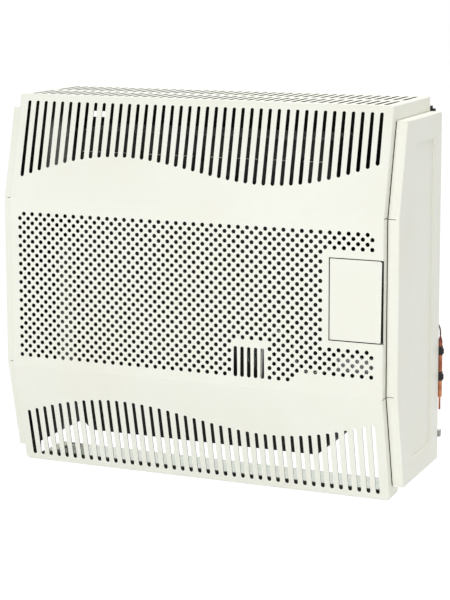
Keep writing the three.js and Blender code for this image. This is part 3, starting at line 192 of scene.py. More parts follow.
def modify(piece, kind, **settings):
    activate(piece)
    modifier = piece.modifiers.new(kind.title(), kind)
    for name, value in settings.items():
        setattr(modifier, name, value)
    bpy.ops.object.modifier_apply(modifier=modifier.name)
    return piece


def thicken(piece, thickness=SHEET):
    return modify(piece, "SOLIDIFY", thickness=thickness * MM, offset=-1, use_even_offset=True,
                  use_quality_normals=True)


def combine(piece, others, operation):
    for other in others:
        modify(piece, "BOOLEAN", object=other, operation=operation, solver="MANIFOLD")
        bpy.data.objects.remove(other, do_unlink=True)
    return piece


def cut(piece, *cutters):
    return combine(piece, cutters, "DIFFERENCE")


def weld(piece, *others):
    return combine(piece, others, "UNION")


def gather(name, pieces):
    activate(*pieces)
    bpy.ops.object.join()
    return named(name)


def copy_of(piece, name, move=(0, 0, 0)):
    activate(piece)
    bpy.ops.object.duplicate(linked=False)
    twin = bpy.context.object
    twin.location = Vector(move) * MM
    return named(name)


def mirror_of(piece, name):
    activate(piece)
    bpy.ops.object.duplicate(linked=False)
    twin = bpy.context.object
    twin.scale = (-1, 1, 1)
    return face_outwards(named(name))


def turned(name, profile, centre, axis="z", steps=48):
    """Spins a closed [radius, height] profile about an axis through the centre."""
    bpy.ops.object.select_all(action="DESELECT")
    bpy.ops.mesh.primitive_circle_add(vertices=len(profile), radius=0.01, fill_type="NOTHING")
    piece = bpy.context.object
    for vertex, (radius, height) in zip(piece.data.vertices, profile):
        vertex.co = Vector((radius, 0, height)) * MM
    work(piece, "EDGE", everything, bpy.ops.mesh.spin, steps=steps, angle=2 * math.pi,
         center=(0, 0, 0), axis=(0, 0, 1))
    work(piece, "VERT", everything, bpy.ops.mesh.remove_doubles, threshold=0.00001)
    work(piece, "EDGE", everything, bpy.ops.mesh.delete_loose)
    piece.rotation_euler = AXIS_TURNS["z"] if axis == "z" else (-math.pi / 2, 0, 0)
    piece.location = place(*centre)
    return face_outwards(named(name))


def soften(piece, angle=32):
    activate(piece)
    bpy.ops.object.shade_smooth_by_angle(angle=math.radians(angle))
    return piece


# ---- the casing's folded profile

LOWER_SLOPE = LOWER_LEAN / LOWER_KNEE
UPPER_SLOPE = UPPER_LEAN / (COVER_HEIGHT - UPPER_KNEE)


def front_at(height, inset):
    lower = (LOWER_KNEE - height) * LOWER_SLOPE + inset * math.hypot(1, LOWER_SLOPE)
    upper = (height - UPPER_KNEE) * UPPER_SLOPE + inset * math.hypot(1, UPPER_SLOPE)
    return FRONT + max(lower, inset, upper)


def knees(inset):
    return (LOWER_KNEE + inset * (math.hypot(1, LOWER_SLOPE) - 1) / LOWER_SLOPE,
            UPPER_KNEE - inset * (math.hypot(1, UPPER_SLOPE) - 1) / UPPER_SLOPE)


def folded_box(name, x, inset, bottom, top, rear):
    """A box whose front leans back above and below the two knees."""
    piece = block(name, x, (FRONT + inset, rear), (bottom, top))
    for height in knees(inset):
        split_across(piece, height)
    for height in (bottom, top):
        lean = front_at(height, inset) - FRONT - inset
        shift(piece, lambda v: abs(corner(v).z - height) < 0.1 and corner(v).y < FRONT + inset + 0.1,
              (0, lean, 0))
    return piece


# ---- front cover

def wave(middle_height, lean, height, crest, length, x):
    return middle_height + lean * x + height * math.cos(2 * math.pi * (x - crest) / length)


def hole_runs(row):
    """First and last half-column of each unbroken stretch of holes in a half-row."""
    if -4 <= row <= 15:
        return [(-9, 60)]
    if 16 <= row <= 21:
        return [(-9, 40), (49, 71)]
    if row == 22:
        return [(-9, 40), (50, 54)]
    if row == 23:
        return [(-9, 39), (49, 53)]
    return [(-9, 71)]


HOLE_RADIUS, HOLE_ROWS, ROW_HEIGHT = 3.5, range(-8, 24), 373.1


def hole_field():
    punch = bar("punch", "y", (0, 0), HOLE_RADIUS, (FRONT - 1, FRONT + 2.5), sides=12)
    runs = []
    for row in HOLE_ROWS:
        for first, last in hole_runs(row):
            first += (first + row) % 2
            last -= (last + row) % 2
            run = copy_of(punch, "run",
                          ((first - 31) * HALF_PITCH, 0, ROW_HEIGHT - HALF_PITCH * row))
            modify(run, "ARRAY", count=(last - first) // 2 + 1, use_relative_offset=False,
                   use_constant_offset=True, constant_offset_displace=(PITCH * MM, 0, 0))
            runs.append(run)
    bpy.data.objects.remove(punch, do_unlink=True)
    return gather("hole_field", runs)


COLUMNS = 41
SLOT_WIDTH, SLOT_MARGIN = 6.6, 10.6
UPPER_WAVE = (519, 0.089, -29.7, 165, 663)
LOWER_WAVE = (110.8, 0.072, 26.6, -165, 646)
TOP_SLOT_SPANS = ((57, 128), (148, 223))
SIGHT_SLOTS, SIGHT_PITCH, SIGHT_SPAN = 5, 11.7, (191, 241)


def long_hole(name, axis, across, start, end, depth):
    """A round-ended cutter: a bar whose far half is pulled along by the slot's length."""
    radius = SLOT_WIDTH / 2
    first = start + radius
    piece = bar(name, axis, (across, first), radius, depth, sides=12)
    direction = 2 if axis == "y" else 1
    move = [0, 0, 0]
    move[direction] = end - start - SLOT_WIDTH
    shift(piece, lambda v: corner(v)[direction] > first + 0.05, move)
    return piece


def slots():
    cutters = []
    for column in range(COLUMNS):
        x = (column - COLUMNS // 2) * PITCH
        upper = wave(*UPPER_WAVE, x)
        lower = wave(*LOWER_WAVE, x)
        through = (FRONT - 5, FRONT + 60)
        cutters.append(long_hole("slot", "y", x, upper, COVER_HEIGHT - SLOT_MARGIN, through))
        cutters.append(long_hole("slot", "y", x, SLOT_MARGIN, lower, through))
        for start, end in TOP_SLOT_SPANS:
            top = (COVER_HEIGHT - 3, COVER_HEIGHT + 2)
            cutters.append(long_hole("slot", "z", x, FRONT + start, FRONT + end, top))
    for column in range(SIGHT_SLOTS):
        x = SIGHT[0] + (column - SIGHT_SLOTS // 2) * SIGHT_PITCH
        cutters.append(long_hole("slot", "y", x, *SIGHT_SPAN, (FRONT - 1, FRONT + 2.5)))
    return gather("slots", cutters)


def knee_slits(x, inset, depth):
    return [block("slit", x, (FRONT + inset + depth[0], FRONT + inset + depth[1]),
                  (knee - 0.5, knee + 0.5)) for knee in knees(inset)]


DOOR_HOLE_LEFT, DOOR_HOLE_SPAN = 239.8, (263.3, 396.2)


def make_front_cover():
    cover = folded_box("front_cover_sheet", (-COVER_HALF, COVER_HALF), 0, 0, COVER_HEIGHT,
                       COVER_REAR + BEYOND)
    remove_faces(cover, lambda f: f.normal.y > 0.9)
    round_edges(cover, lambda e: along(e, "y") and bends(e, 60) and middle(e).z < 1, 7, 6)
    round_edges(cover, lambda e: bends(e, 60), 2.2, 4)
    round_edges(cover, lambda e: along(e, "x") and bends(e, 9) and not bends(e, 16)
                and middle(e).y < FRONT + 1, 0.7, 2)
    thicken(cover)
    rear = block("rear", (-400, 400), (COVER_REAR, 60), (-5, 700))
    sides = folded_box("sides", (-400, 400), RIM, FOOT_HEIGHT, COVER_HEIGHT - TOP_RIM, 40)
    behind_foot = block("behind_foot", (-400, 400), (FRONT + FOOT_DEPTH, 40), (-2, FOOT_HEIGHT + 1))
    foot_end = (FRONT + FOOT_DEPTH - 10, FRONT + FOOT_DEPTH + 1)
    foot_corner = block("foot_corner", (-400, 400), foot_end, (-2, 10))
    cut(foot_corner, bar("foot_round", "x", (foot_end[0], 10), 10, (-410, 410), 32))
    floor_half = COVER_HALF - RETURN
    floor = block("floor", (-floor_half, floor_half), (front_at(0, RETURN), 40), (-2, 3))
    door = block("door_hole", (DOOR_HOLE_LEFT, 340), (FRONT - 2, FRONT + 4.6), DOOR_HOLE_SPAN)
    cut(cover, rear, sides, behind_foot, foot_corner, floor, door)
    for side in (1, -1):
        reach = sorted((side * (COVER_HALF - 3.5), side * (COVER_HALF + 2)))
        cut(cover, *knee_slits(reach, 0, (SHEET, RIM + 2)))
        cut(cover, bar("screw_hole", "z", (side * COVER_SCREW[0], COVER_SCREW[1]), 2.7, (-3, 4), 20))
    cut(cover, hole_field(), slots())
    return cover


# ---- side panels

RECESS_DEPTH = 3.5


def make_side_panel():
    panel = folded_box("side_panel_sheet_right", (PANEL_INNER, PANEL_FACE), RIM, PANEL_BOTTOM,
                       PANEL_TOP, REAR)
    outer = lambda f: f.normal.x > 0.99
    # the pressed field: its outline is set in evenly, then drawn to its own margins
    work(panel, "FACE", outer, bpy.ops.mesh.inset, thickness=40 * MM, depth=0, use_even_offset=True)
    field = lambda v: v.co.x > (PANEL_FACE - 0.1) * MM and is_field(corner(v))
    shift(panel, lambda v: field(v) and corner(v).y < -100, (0, 15, 0))
    shift(panel, lambda v: field(v) and corner(v).z < 100, (0, 0, -4))
    shift(panel, lambda v: field(v) and corner(v).z > 560, (0, 0, 1))
    in_field = lambda f: outer(f) and all(is_field(corner(v)) for v in f.verts)
    put_out(panel, in_field, (-RECESS_DEPTH, 0, 0))
    walls = lambda e: along(e, "x") and is_field(middle(e)) and middle(e).x < PANEL_FACE - 0.5
    round_edges(panel, lambda e: walls(e) and bends(e, 40), 15, 8)
    floor = lambda e: corner(e.verts[0]).x < PANEL_FACE - 3.4 and is_field(middle(e))
    brim = lambda e: is_field(middle(e)) and middle(e).x > PANEL_FACE - 0.1
    round_edges(panel, lambda e: bends(e, 60) and (floor(e) or brim(e)) and not along(e, "x"), 0.7, 2)
    # folded outer edges
    rim = lambda e: (bends(e, 60) and middle(e).x > PANEL_FACE - 0.1 and not is_field(middle(e)))
    round_edges(panel, rim, 2.4, 4)
    remove_faces(panel, lambda f: f.normal.x < -0.99 and millimetres(f.calc_center_median()).x < 335)
    return panel


def is_field(point):
    """Whether a point of the outer face lies in or on the outline of the pressed field."""
    return (point.z > 45 and point.z < 585 and point.y < -42
            and point.y > front_at(point.z, RIM) + 30)


# ---- finishes

def new_group(name, inputs, outputs):
    group = bpy.data.node_groups.new(name, "ShaderNodeTree")
    for label, value in inputs.items():
        socket = group.interface.new_socket(label, in_out="INPUT", socket_type="NodeSocketFloat")
        socket.default_value = value
    for label in outputs:
        group.interface.new_socket(label, in_out="OUTPUT", socket_type="NodeSocketFloat")
    return group, group.nodes.new("NodeGroupInput"), group.nodes.new("NodeGroupOutput")


def node(tree, kind, links=None, **settings):
    made = tree.nodes.new(kind)
    for name, value in settings.items():
        setattr(made, name, value)
    for socket, source in (links or {}).items():
        if isinstance(source, bpy.types.NodeSocket):
            tree.links.new(source, made.inputs[socket])
        else:
            made.inputs[socket].default_value = source
    return made


def noise(tree, vector, scale, detail=2.0, roughness=0.5):
    return node(tree, "ShaderNodeTexNoise", {"Vector": vector, "Scale": scale, "Detail": detail,
                                             "Roughness": roughness}).outputs["Fac"]


def spread(tree, value, low, high):
    """Stretches the middle of a noise to the whole of 0 to 1."""
    return node(tree, "ShaderNodeMapRange", {"Value": value, "From Min": low, "From Max": high}
                ).outputs["Result"]


def powder_texture():
    """Powder coat: the orange peel of the film, cloudy tone and a slightly uneven gloss."""
    group, given, out = new_group("powder_coat", {"Peel": 900.0, "Cloud": 5.0},
                                  ("Height", "Tone", "Gloss"))
    here = node(group, "ShaderNodeTexCoord").outputs["Object"]
    peel = noise(group, here, given.outputs["Peel"], 3.0)
    cloud = noise(group, here, given.outputs["Cloud"], 4.0, 0.6)
    gloss = noise(group, here, 60.0, 3.0)
    group.links.new(peel, out.inputs["Height"])
    group.links.new(spread(group, cloud, 0.3, 0.7), out.inputs["Tone"])
    group.links.new(spread(group, gloss, 0.3, 0.7), out.inputs["Gloss"])
    return group


def spangle_texture():
    """Zinc coat: angular crystals, each with a tone of its own, and a fine grain."""
    group, given, out = new_group("zinc_spangle", {"Crystals": 110.0, "Grain": 1500.0},
                                  ("Height", "Tone", "Gloss"))
    here = node(group, "ShaderNodeTexCoord").outputs["Object"]
    cells = node(group, "ShaderNodeTexVoronoi", {"Vector": here, "Scale": given.outputs["Crystals"]})
    tone = node(group, "ShaderNodeSeparateColor", {"Color": cells.outputs["Color"]}).outputs["Red"]
    dull = noise(group, here, 18.0, 4.0, 0.6)
    grain = noise(group, here, given.outputs["Grain"], 2.0)
    group.links.new(grain, out.inputs["Height"])
    group.links.new(tone, out.inputs["Tone"])
    group.links.new(spread(group, dull, 0.3, 0.7), out.inputs["Gloss"])
    return group


def grain_texture():
    """Drawn, cast or moulded stock: grain that can be stretched along an axis, and stains."""
    group, given, out = new_group("stock_grain", {"Grain": 400.0, "Along X": 1.0, "Along Y": 1.0,
                                                  "Along Z": 1.0, "Stain": 25.0},
                                  ("Height", "Tone", "Gloss"))
    here = node(group, "ShaderNodeTexCoord").outputs["Object"]
    ratio = node(group, "ShaderNodeCombineXYZ", {"X": given.outputs["Along X"],
                                                 "Y": given.outputs["Along Y"],
                                                 "Z": given.outputs["Along Z"]}).outputs["Vector"]
    drawn = node(group, "ShaderNodeVectorMath", {0: here, 1: ratio},
                 operation="MULTIPLY").outputs["Vector"]
    grain = noise(group, drawn, given.outputs["Grain"], 3.0, 0.6)
    stain = noise(group, here, given.outputs["Stain"], 5.0, 0.6)
    group.links.new(grain, out.inputs["Height"])
    group.links.new(spread(group, stain, 0.35, 0.7), out.inputs["Tone"])
    group.links.new(spread(group, grain, 0.3, 0.7), out.inputs["Gloss"])
    return group


def zone_mask():
    """A soft-edged zone of a piece, between two depths and two heights of the frame, in metres."""
    group, given, out = new_group("zone", {"Y From": -1.0, "Y To": 1.0, "Z From": -1.0, "Z To": 1.0,
                                           "Soft": 0.005}, ("Mask",))
    here = node(group, "ShaderNodeTexCoord").outputs["Object"]
    place_in = node(group, "ShaderNodeSeparateXYZ", {"Vector": here})
    shares = []
    for axis in "YZ":
        for label, low, high in ((axis + " From", 0.0, 1.0), (axis + " To", 1.0, 0.0)):
            edge = given.outputs[label]
            start = node(group, "ShaderNodeMath", {0: edge, 1: given.outputs["Soft"]},
                         operation="SUBTRACT").outputs[0]
            end = node(group, "ShaderNodeMath", {0: edge, 1: given.outputs["Soft"]},
                       operation="ADD").outputs[0]
            shares.append(node(group, "ShaderNodeMapRange", {
                "Value": place_in.outputs[axis], "From Min": start, "From Max": end, "To Min": low,
                "To Max": high}, interpolation_type="SMOOTHSTEP").outputs["Result"])
    mask = shares[0]
    for share in shares[1:]:
        mask = node(group, "ShaderNodeMath", {0: mask, 1: share}, operation="MULTIPLY").outputs[0]
    group.links.new(mask, out.inputs["Mask"])
    return group


POWDER, SPANGLE, GRAIN = powder_texture(), spangle_texture(), grain_texture()
ZONE = zone_mask()


def colour(code):
    """A screen colour such as f4f5ea as the shader's linear one."""
    parts = [int(code[i:i + 2], 16) / 255 for i in (0, 2, 4)]
    return tuple(p / 12.92 if p <= 0.04045 else ((p + 0.055) / 1.055) ** 2.4 for p in parts) + (1.0,)


def finish(name, group, values, clean, stained, gloss, metallic=0.0, bump=0.1, depth=0.0002,
           zones=(), around=None):
    """A finish: two colours and two roughnesses, mixed by a shared texture with its own values. Outside
    its zones, where it has any, the piece has another colour with a dull roughness; on the tray and the
    side frames that colour is painted shade."""
    material = bpy.data.materials.new(name)
    material.use_nodes = True
    tree = material.node_tree
    tree.nodes.clear()
    texture = node(tree, "ShaderNodeGroup", node_tree=group)
    for label, value in values.items():
        texture.inputs[label].default_value = value
    mix = node(tree, "ShaderNodeMix", data_type="RGBA")
    mix.inputs[6].default_value = colour(clean)
    mix.inputs[7].default_value = colour(stained)
    tree.links.new(texture.outputs["Tone"], mix.inputs[0])
    rough = node(tree, "ShaderNodeMapRange", {"Value": texture.outputs["Gloss"], "To Min": gloss[0],
                                              "To Max": gloss[1]})
    relief = node(tree, "ShaderNodeBump", {"Height": texture.outputs["Height"], "Strength": bump,
                                           "Distance": depth})
    tint, dull, metal = mix.outputs[2], rough.outputs["Result"], metallic
    if zones:
        mask = 0.0
        for zone in zones:
            one = node(tree, "ShaderNodeGroup", node_tree=ZONE)
            for label, value in zone.items():
                one.inputs[label].default_value = value
            mask = node(tree, "ShaderNodeMath", {0: mask, 1: one.outputs["Mask"]},
                        operation="MAXIMUM").outputs[0]
        coat = node(tree, "ShaderNodeMix", {0: mask, 7: tint}, data_type="RGBA")
        coat.inputs[6].default_value = colour(around)
        tint = coat.outputs[2]
        dull = node(tree, "ShaderNodeMix", {0: mask, 2: 0.8, 3: dull}).outputs[0]
        if metallic:
            metal = node(tree, "ShaderNodeMapRange",
                         {"Value": mask, "To Max": metallic}).outputs["Result"]
    shader = node(tree, "ShaderNodeBsdfPrincipled", {"Base Color": tint, "Roughness": dull,
                                                     "Normal": relief.outputs["Normal"],
                                                     "Metallic": metal})
    node(tree, "ShaderNodeOutputMaterial", {"Surface": shader.outputs["BSDF"]})
    return material


enamel = finish("cream_powder_coat", POWDER, {"Peel": 900.0, "Cloud": 5.0}, "f5f6ec", "f1f1e4",
                (0.38, 0.46), bump=0.12)
# painted shade: a near-black sheet colour put on inner faces and punched walls where there is only
# shade
painted_shade = finish("grey_primer", POWDER, {"Peel": 1200.0, "Cloud": 9.0}, "1b1c1b", "242523", (0.6, 0.8),
                bump=0.2)
# the painted shade hardly shines, so that slots and holes stay dark inside
painted_shade.node_tree.nodes["Principled BSDF"].inputs["Specular IOR Level"].default_value = 0.15
zinc = finish("galvanised_steel", SPANGLE, {"Crystals": 110.0}, "8d958f", "767f79", (0.38, 0.6),
              metallic=0.75, bump=0.08)
# the tray: pale, mirror-like zinc from 164 mm in front of the wall back to it; in front of that its
# strip is painted shadow, a dull dark grey, for the shade under the cover's lower edge
tray_zinc_front_shadow = finish("galvanised_tray_front_shadow", SPANGLE, {"Crystals": 110.0}, "dfe6da", "d0d8cb", (0.05, 0.09),
                   metallic=0.85, bump=0.004, around="3c413a",
                   zones=[{"Y From": -0.164, "Soft": 0.004}])
# painted light: the side frames are pale zinc only in these patches, where daylight reaches them, and
# in the strips below
FRAME_PAINTED_LIGHT_PATCHES = [  # where daylight reaches the side frames behind the holes and the upper slots
    {"Y From": -0.1, "Y To": -0.046, "Z From": -0.46, "Z To": -0.232, "Soft": 0.012},
    {"Y From": -0.135, "Y To": -0.04, "Z From": -0.12, "Z To": -0.024, "Soft": 0.02},
]
# painted light: pale strips standing for light through the lower slots, which the tray mirrors as pale
# lines
PAINTED_LIGHT_STRIPS = [  # low on the frames, seen only as pale lines that the tray mirrors
    {"Y From": front, "Y To": rear, "Z To": -0.538, "Soft": 0.002}
    for front, rear in ((-0.090, -0.078), (-0.058, -0.045), (-0.025, -0.008))]
# the side frames: pale zinc in the painted light patches and strips, near black elsewhere as painted
# shade
frame_zinc_painted_light_shade = finish("side_frame_zinc", SPANGLE, {"Crystals": 110.0}, "eef3ea", "dbe3d8", (0.5, 0.7),
                    bump=0.08, around="0b0c0b", zones=FRAME_PAINTED_LIGHT_PATCHES + PAINTED_LIGHT_STRIPS)
rail_zinc = finish("galvanised_rail", SPANGLE, {"Crystals": 110.0}, "d5d9d2", "c2c8c0", (0.4, 0.6),
                   metallic=0.2, bump=0.08)
black_paint = finish("black_rail_paint", POWDER, {"Peel": 700.0, "Cloud": 20.0}, "17181b", "232429",
                     (0.35, 0.55), bump=0.2)
stove_black = finish("stove_enamel_black", POWDER, {"Peel": 500.0, "Cloud": 14.0}, "141414", "221f1c",
                     (0.45, 0.75), bump=0.25)
steel = finish("plain_steel", GRAIN, {"Grain": 300.0, "Along X": 0.1}, "b4b6b8", "8f8d88",
               (0.28, 0.5), metallic=1.0, bump=0.1)
aluminium = finish("cast_aluminium", GRAIN, {"Grain": 900.0}, "b9bbbd", "9a9b9c", (0.38, 0.6),
                   metallic=0.9, bump=0.3)
# the valve: its white band is a painted highlight for the light on its upper front; above and below it
# the casting is near black
valve_casting = finish("valve_casting", GRAIN, {"Grain": 900.0}, "f2f3f5", "e2e3e6", (0.35, 0.5),
                       bump=0.3, around="17181a", zones=[{"Z From": -0.388, "Z To": -0.363,
                                                          "Soft": 0.0015}])
pipe_aluminium = finish("pipe_aluminium", GRAIN, {"Grain": 900.0}, "e4eae0", "d3dad0", (0.35, 0.5),
                        metallic=0.2, bump=0.05)
blackened_steel = finish("blackened_steel", GRAIN, {"Grain": 400.0}, "121213", "1c1a18", (0.4, 0.6),
                         metallic=0.3, bump=0.1)
brass = finish("turned_brass", GRAIN, {"Grain": 600.0, "Along Z": 6.0}, "c9a35a", "a37c3c",
               (0.25, 0.45), metallic=1.0, bump=0.1)
copper = finish("drawn_copper", GRAIN, {"Grain": 500.0, "Along Z": 0.1, "Stain": 95.0}, "c98660",
                "7d4030", (0.3, 0.55), metallic=0.9, bump=0.1, around="7c3c38",
                zones=[{"Z To": -0.374, "Soft": 0.006}])
tarnished_copper = finish("tarnished_copper", GRAIN, {"Grain": 500.0, "Stain": 95.0}, "6d4a44",
                          "3f2a29", (0.4, 0.6), metallic=0.7, bump=0.1)
fibre = finish("ceramic_fibre", GRAIN, {"Grain": 1200.0}, "ded9cc", "b9b2a2", (0.9, 1.0), bump=0.6)
rubber = finish("black_rubber", GRAIN, {"Grain": 800.0}, "1d1e1f", "2b2b2b", (0.7, 0.9), bump=0.3)
black_plastic = finish("black_moulding", GRAIN, {"Grain": 1400.0}, "0b0c0c", "131414", (0.45, 0.6),
                       bump=0.2)
red_plastic = finish("red_moulding", GRAIN, {"Grain": 1400.0}, "a8241b", "8f1c15", (0.3, 0.42),
                     bump=0.1)
ceramic = finish("glazed_ceramic", GRAIN, {"Grain": 300.0}, "ece8dd", "dcd5c4", (0.15, 0.3),
                 bump=0.05)
heat_glass = finish("heat_glass", GRAIN, {"Grain": 200.0, "Stain": 40.0}, "dfe9e6", "c9cfc6",
                    (0.02, 0.12), bump=0.02)
heat_glass.node_tree.nodes["Principled BSDF"].inputs["Transmission Weight"].default_value = 0.9

SLOT_FINISHES = {
    "cream_enamel": enamel, "galvanised_steel": zinc, "black_steel": black_paint,
    "chamber_enamel": stove_black, "steel": steel, "aluminium": aluminium, "brass": brass,
    "copper": copper, "fibre_gasket": fibre, "rubber": rubber, "black_plastic": black_plastic,
    "red_plastic": red_plastic, "ceramic": ceramic, "heat_glass": heat_glass,
}

for part in frame["record"]["subparts"]:
    for slot in frame["nodes"][part["node"]].material_slots:
        slot.material = SLOT_FINISHES[part["material_slot"]]


def fit(piece, body, slot, *nodes):
    """Gives a piece its finish, its body and the nodes that it stands for."""
    piece.data.materials.clear()
    piece.data.materials.append(SLOT_FINISHES[slot])
    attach(piece, body)
    if nodes:
        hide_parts(*nodes)
    return piece


# ---- copies of the CAD bodies

def copied_body(node_name):
    """A copy of a CAD body to work on, its triangles merged back into whole faces."""
    piece = bpy.data.objects.new(node_name + "_worked", frame["nodes"][node_name].data.copy())
    bpy.context.scene.collection.objects.link(piece)
    face_outwards(piece)
    return work(piece, "FACE", everything, bpy.ops.mesh.dissolve_limited,
                angle_limit=math.radians(0.5))


def eased(node_name, radius, least=40, steps=2):
    """The CAD body with its sharp edges broken."""
    return round_edges(copied_body(node_name), lambda e: bends(e, least), radius, steps)


def smooth_line(node_name, radius, growth):
    """A small pipe or wire: the CAD body's few-sided section made round, at its full size."""
    piece = bpy.data.objects.new(node_name + "_drawn", frame["nodes"][node_name].data.copy())
    bpy.context.scene.collection.objects.link(piece)
    face_outwards(piece)
    work(piece, "FACE", everything, bpy.ops.mesh.tris_convert_to_quads)
    work(piece, "EDGE", lambda e: bends(e, 70), bpy.ops.transform.edge_crease, value=1.0)
    modify(piece, "SUBSURF", levels=2)
    return work(piece, "VERT", everything, bpy.ops.transform.shrink_fatten, value=radius * growth * MM)


# ---- rails, back plate and frames

ROUND_HOLE = 0.06  # a round cutter this much wider than the CAD's many-sided hole clears its corners


RAIL_BOTTOM, RAIL_SCREW_HEIGHT, RAIL_SCREWS = 572, 607, (-260, -90, 90, 260)


def make_wall_rail():
    rail = copied_body("wall_rail")
    round_edges(rail, lambda e: along(e, "x") and bends(e, 60)
                and abs(middle(e).z - RAIL_BOTTOM) < 0.1, 2.2, 4)
    for x in RAIL_SCREWS:
        cut(rail, bar("screw_hole", "y", (x, RAIL_SCREW_HEIGHT), 4 + ROUND_HOLE, (-20, 2), 32))
    for side in (1, -1):
        cut(rail, block("sight_hole", sorted((side * 264, side * 302)), (-20, 2), (575, 590)),
            block("end", sorted((side * 331, side * 340)), (-20, 2), (612.6, 620)))
    return round_edges(rail, lambda e: bends(e, 50), 0.3, 2)


def make_lower_rail():
    rail = copied_body("lower_wall_rail")
    web = lambda e: along(e, "x") and middle(e).y > -0.1
    round_edges(rail, web, 2.2, 4)
    for x in (-300, -100, 100, 300):
        cut(rail, bar("screw_hole", "y", (x, 64), 2.4, (-20, 2), 24))
    cut(rail, block("pipe_way", (196, 294), (-20, 2), (50, 80)))
    return round_edges(rail, lambda e: bends(e, 50), 0.3, 2)


def capsule(name, axis, centre, radius, span):
    """A long bar with domed ends, for pressing a bead into a sheet."""
    piece = bar(name, axis, centre, radius, span, 24)
    return round_edges(piece, lambda e: bends(e, 60), radius * 0.95, 6)


BEAD_RADIUS, BEAD_DEPTH = 9, 3
# each bead's axis, its place across the axis and its span
BEADS = ([("z", x, (110, 545)) for x in (-290, 290)] + [("x", z, (-72, 72)) for z in (82, 505, 560)]
         + [("z", x, (90, 560)) for x in (-185, 185)])
FLUE_HOLE_RADIUS, CAPILLARY_HOLE = 65.3, (305, 262)
RIVETS = [(x, z) for x in (-335, 335) for z in (75, 200, 330, 460, 590)]


def make_back_plate():
    plate = copied_body("back_plate")
    lift = BEAD_RADIUS - BEAD_DEPTH
    for axis, across, span in BEADS:
        centre = (across, REAR - SHEET + lift) if axis == "z" else (REAR - SHEET + lift, across)
        hollow_centre = (across, REAR + lift) if axis == "z" else (REAR + lift, across)
        ridge = capsule("bead", axis, centre, BEAD_RADIUS, span)
        cut(ridge, block("rear_half", (-400, 400), (REAR - SHEET / 2, 60), (-10, 700)))
        weld(plate, ridge)
        cut(plate, capsule("bead_hollow", axis, hollow_centre, BEAD_RADIUS, span))
    flue = (0, FLUE_HEIGHT)
    cut(plate, bar("flue_hole", "y", flue, FLUE_HOLE_RADIUS + ROUND_HOLE, (-20, 2), 96),
        bar("capillary_hole", "y", CAPILLARY_HOLE, 4 + ROUND_HOLE, (-20, 2), 32))
    for rivet in RIVETS:
        cut(plate, bar("rivet_hole", "y", rivet, 1.7, (-13, -8), 16))
    for side in (1, -1):
        cut(plate, block("sight_hole", sorted((side * 265.5, side * 294)), (-20, -8), (578.6, 589)))
    return cut(plate, block("pipe_way", (196, 294), (-20, -8), (50, 104)))


def make_side_frame(node_name):
    return eased(node_name, 1.2, least=50, steps=3)


# ---- flue collars and seal

def collar(name, radius, start, flange_from, flange_to, flange):
    """A spun pipe end: a flange turned out of the pipe and a rolled outer lip."""
    wall, end = 1.5, -2
    inner, outer = radius - wall, radius
    profile = [[inner, start], [outer, start], [outer, flange_from - 0.01], [flange - 0.5, flange_from],
               [flange, flange_from + 0.4], [flange, flange_to - 0.4], [flange - 0.5, flange_to],
               [outer + 1.4, flange_to], [outer + 0.4, flange_to + 0.4], [outer, flange_to + 1.4],
               [outer, end - 0.5], [outer - 0.4, end], [inner + 0.4, end], [inner, end - 0.5]]
    return turned(name, profile, (0, 0, FLUE_HEIGHT), "y", 96)


def make_flue_seal():
    profile = [[66, -9.2], [66.5, -9.7], [79.5, -9.7], [80, -9.2], [80, -6.4], [79, -5.6], [80, -4.8],
               [80, -0.8], [79.5, -0.3], [66.5, -0.3], [66, -0.8]]
    return turned("flue_seal_ring", profile, (0, 0, FLUE_HEIGHT), "y", 96)


# ---- control door

DOOR_SPAN = (264.9, 394.6)


def make_door():
    door = block("control_door_sheet", (241.4, 327.3), (FRONT, FRONT + SHEET), DOOR_SPAN)
    # the sheet's hinge edge leans a little, and its corners are notched round the lugs
    shift(door, lambda v: corner(v).x > 320 and corner(v).z < 300, (-1.2, 0, 0))
    for low, high in ((DOOR_SPAN[0] - 1, DOOR_SPAN[0] + 1.2), (DOOR_SPAN[1] - 1.4, DOOR_SPAN[1] + 1)):
        cut(door, block("notch", (325.4, 330), (FRONT - 1, FRONT + 2), (low, high)))
    weld(door, bar("barrel", "z", HINGE, 1.74, DOOR_SPAN, 48),
         block("web", (320, HINGE[0]), (FRONT + SHEET - 0.3, FRONT + SHEET + 0.6),
               (DOOR_SPAN[0] + 3, DOOR_SPAN[1] - 3)))
    cut(door, bar("pin_bore", "z", HINGE, 1.05, (200, 450), 32))
    free = lambda e: middle(e).x < 242 and bends(e, 60)
    round_edges(door, lambda e: free(e) and along(e, "y"), 1.2, 3)
    return round_edges(door, lambda e: bends(e, 60) and middle(e).y < FRONT + 0.1
                       and middle(e).x < 325, 0.3, 3)


def shaded_hinge_side(point):
    """The rolled barrel behind the door's hinge edge, in the near-black painted shade so that the hinge
    line reads dark.
    """
    return point.x > 319 and point.y > FRONT + 0.1


PIN = (256.5, 403)


def make_hinge_pin():
    """A stepped pin: thick in the two lugs and thin through the door's barrel."""
    thick, thin = 1.5, 1.0
    profile = [[0, PIN[0]], [thick - 0.3, PIN[0]], [thick, PIN[0] + 0.3], [thick, DOOR_SPAN[0] - 0.2],
               [thin, DOOR_SPAN[0] - 0.2], [thin, DOOR_SPAN[1] + 0.2], [thick, DOOR_SPAN[1] + 0.2],
               [thick, PIN[1] - 0.3], [thick - 0.3, PIN[1]], [0, PIN[1]]]
    return turned("door_hinge_pin_turning", profile, (*HINGE, 0), "z", 24)


# ---- thermostat bulb and clips

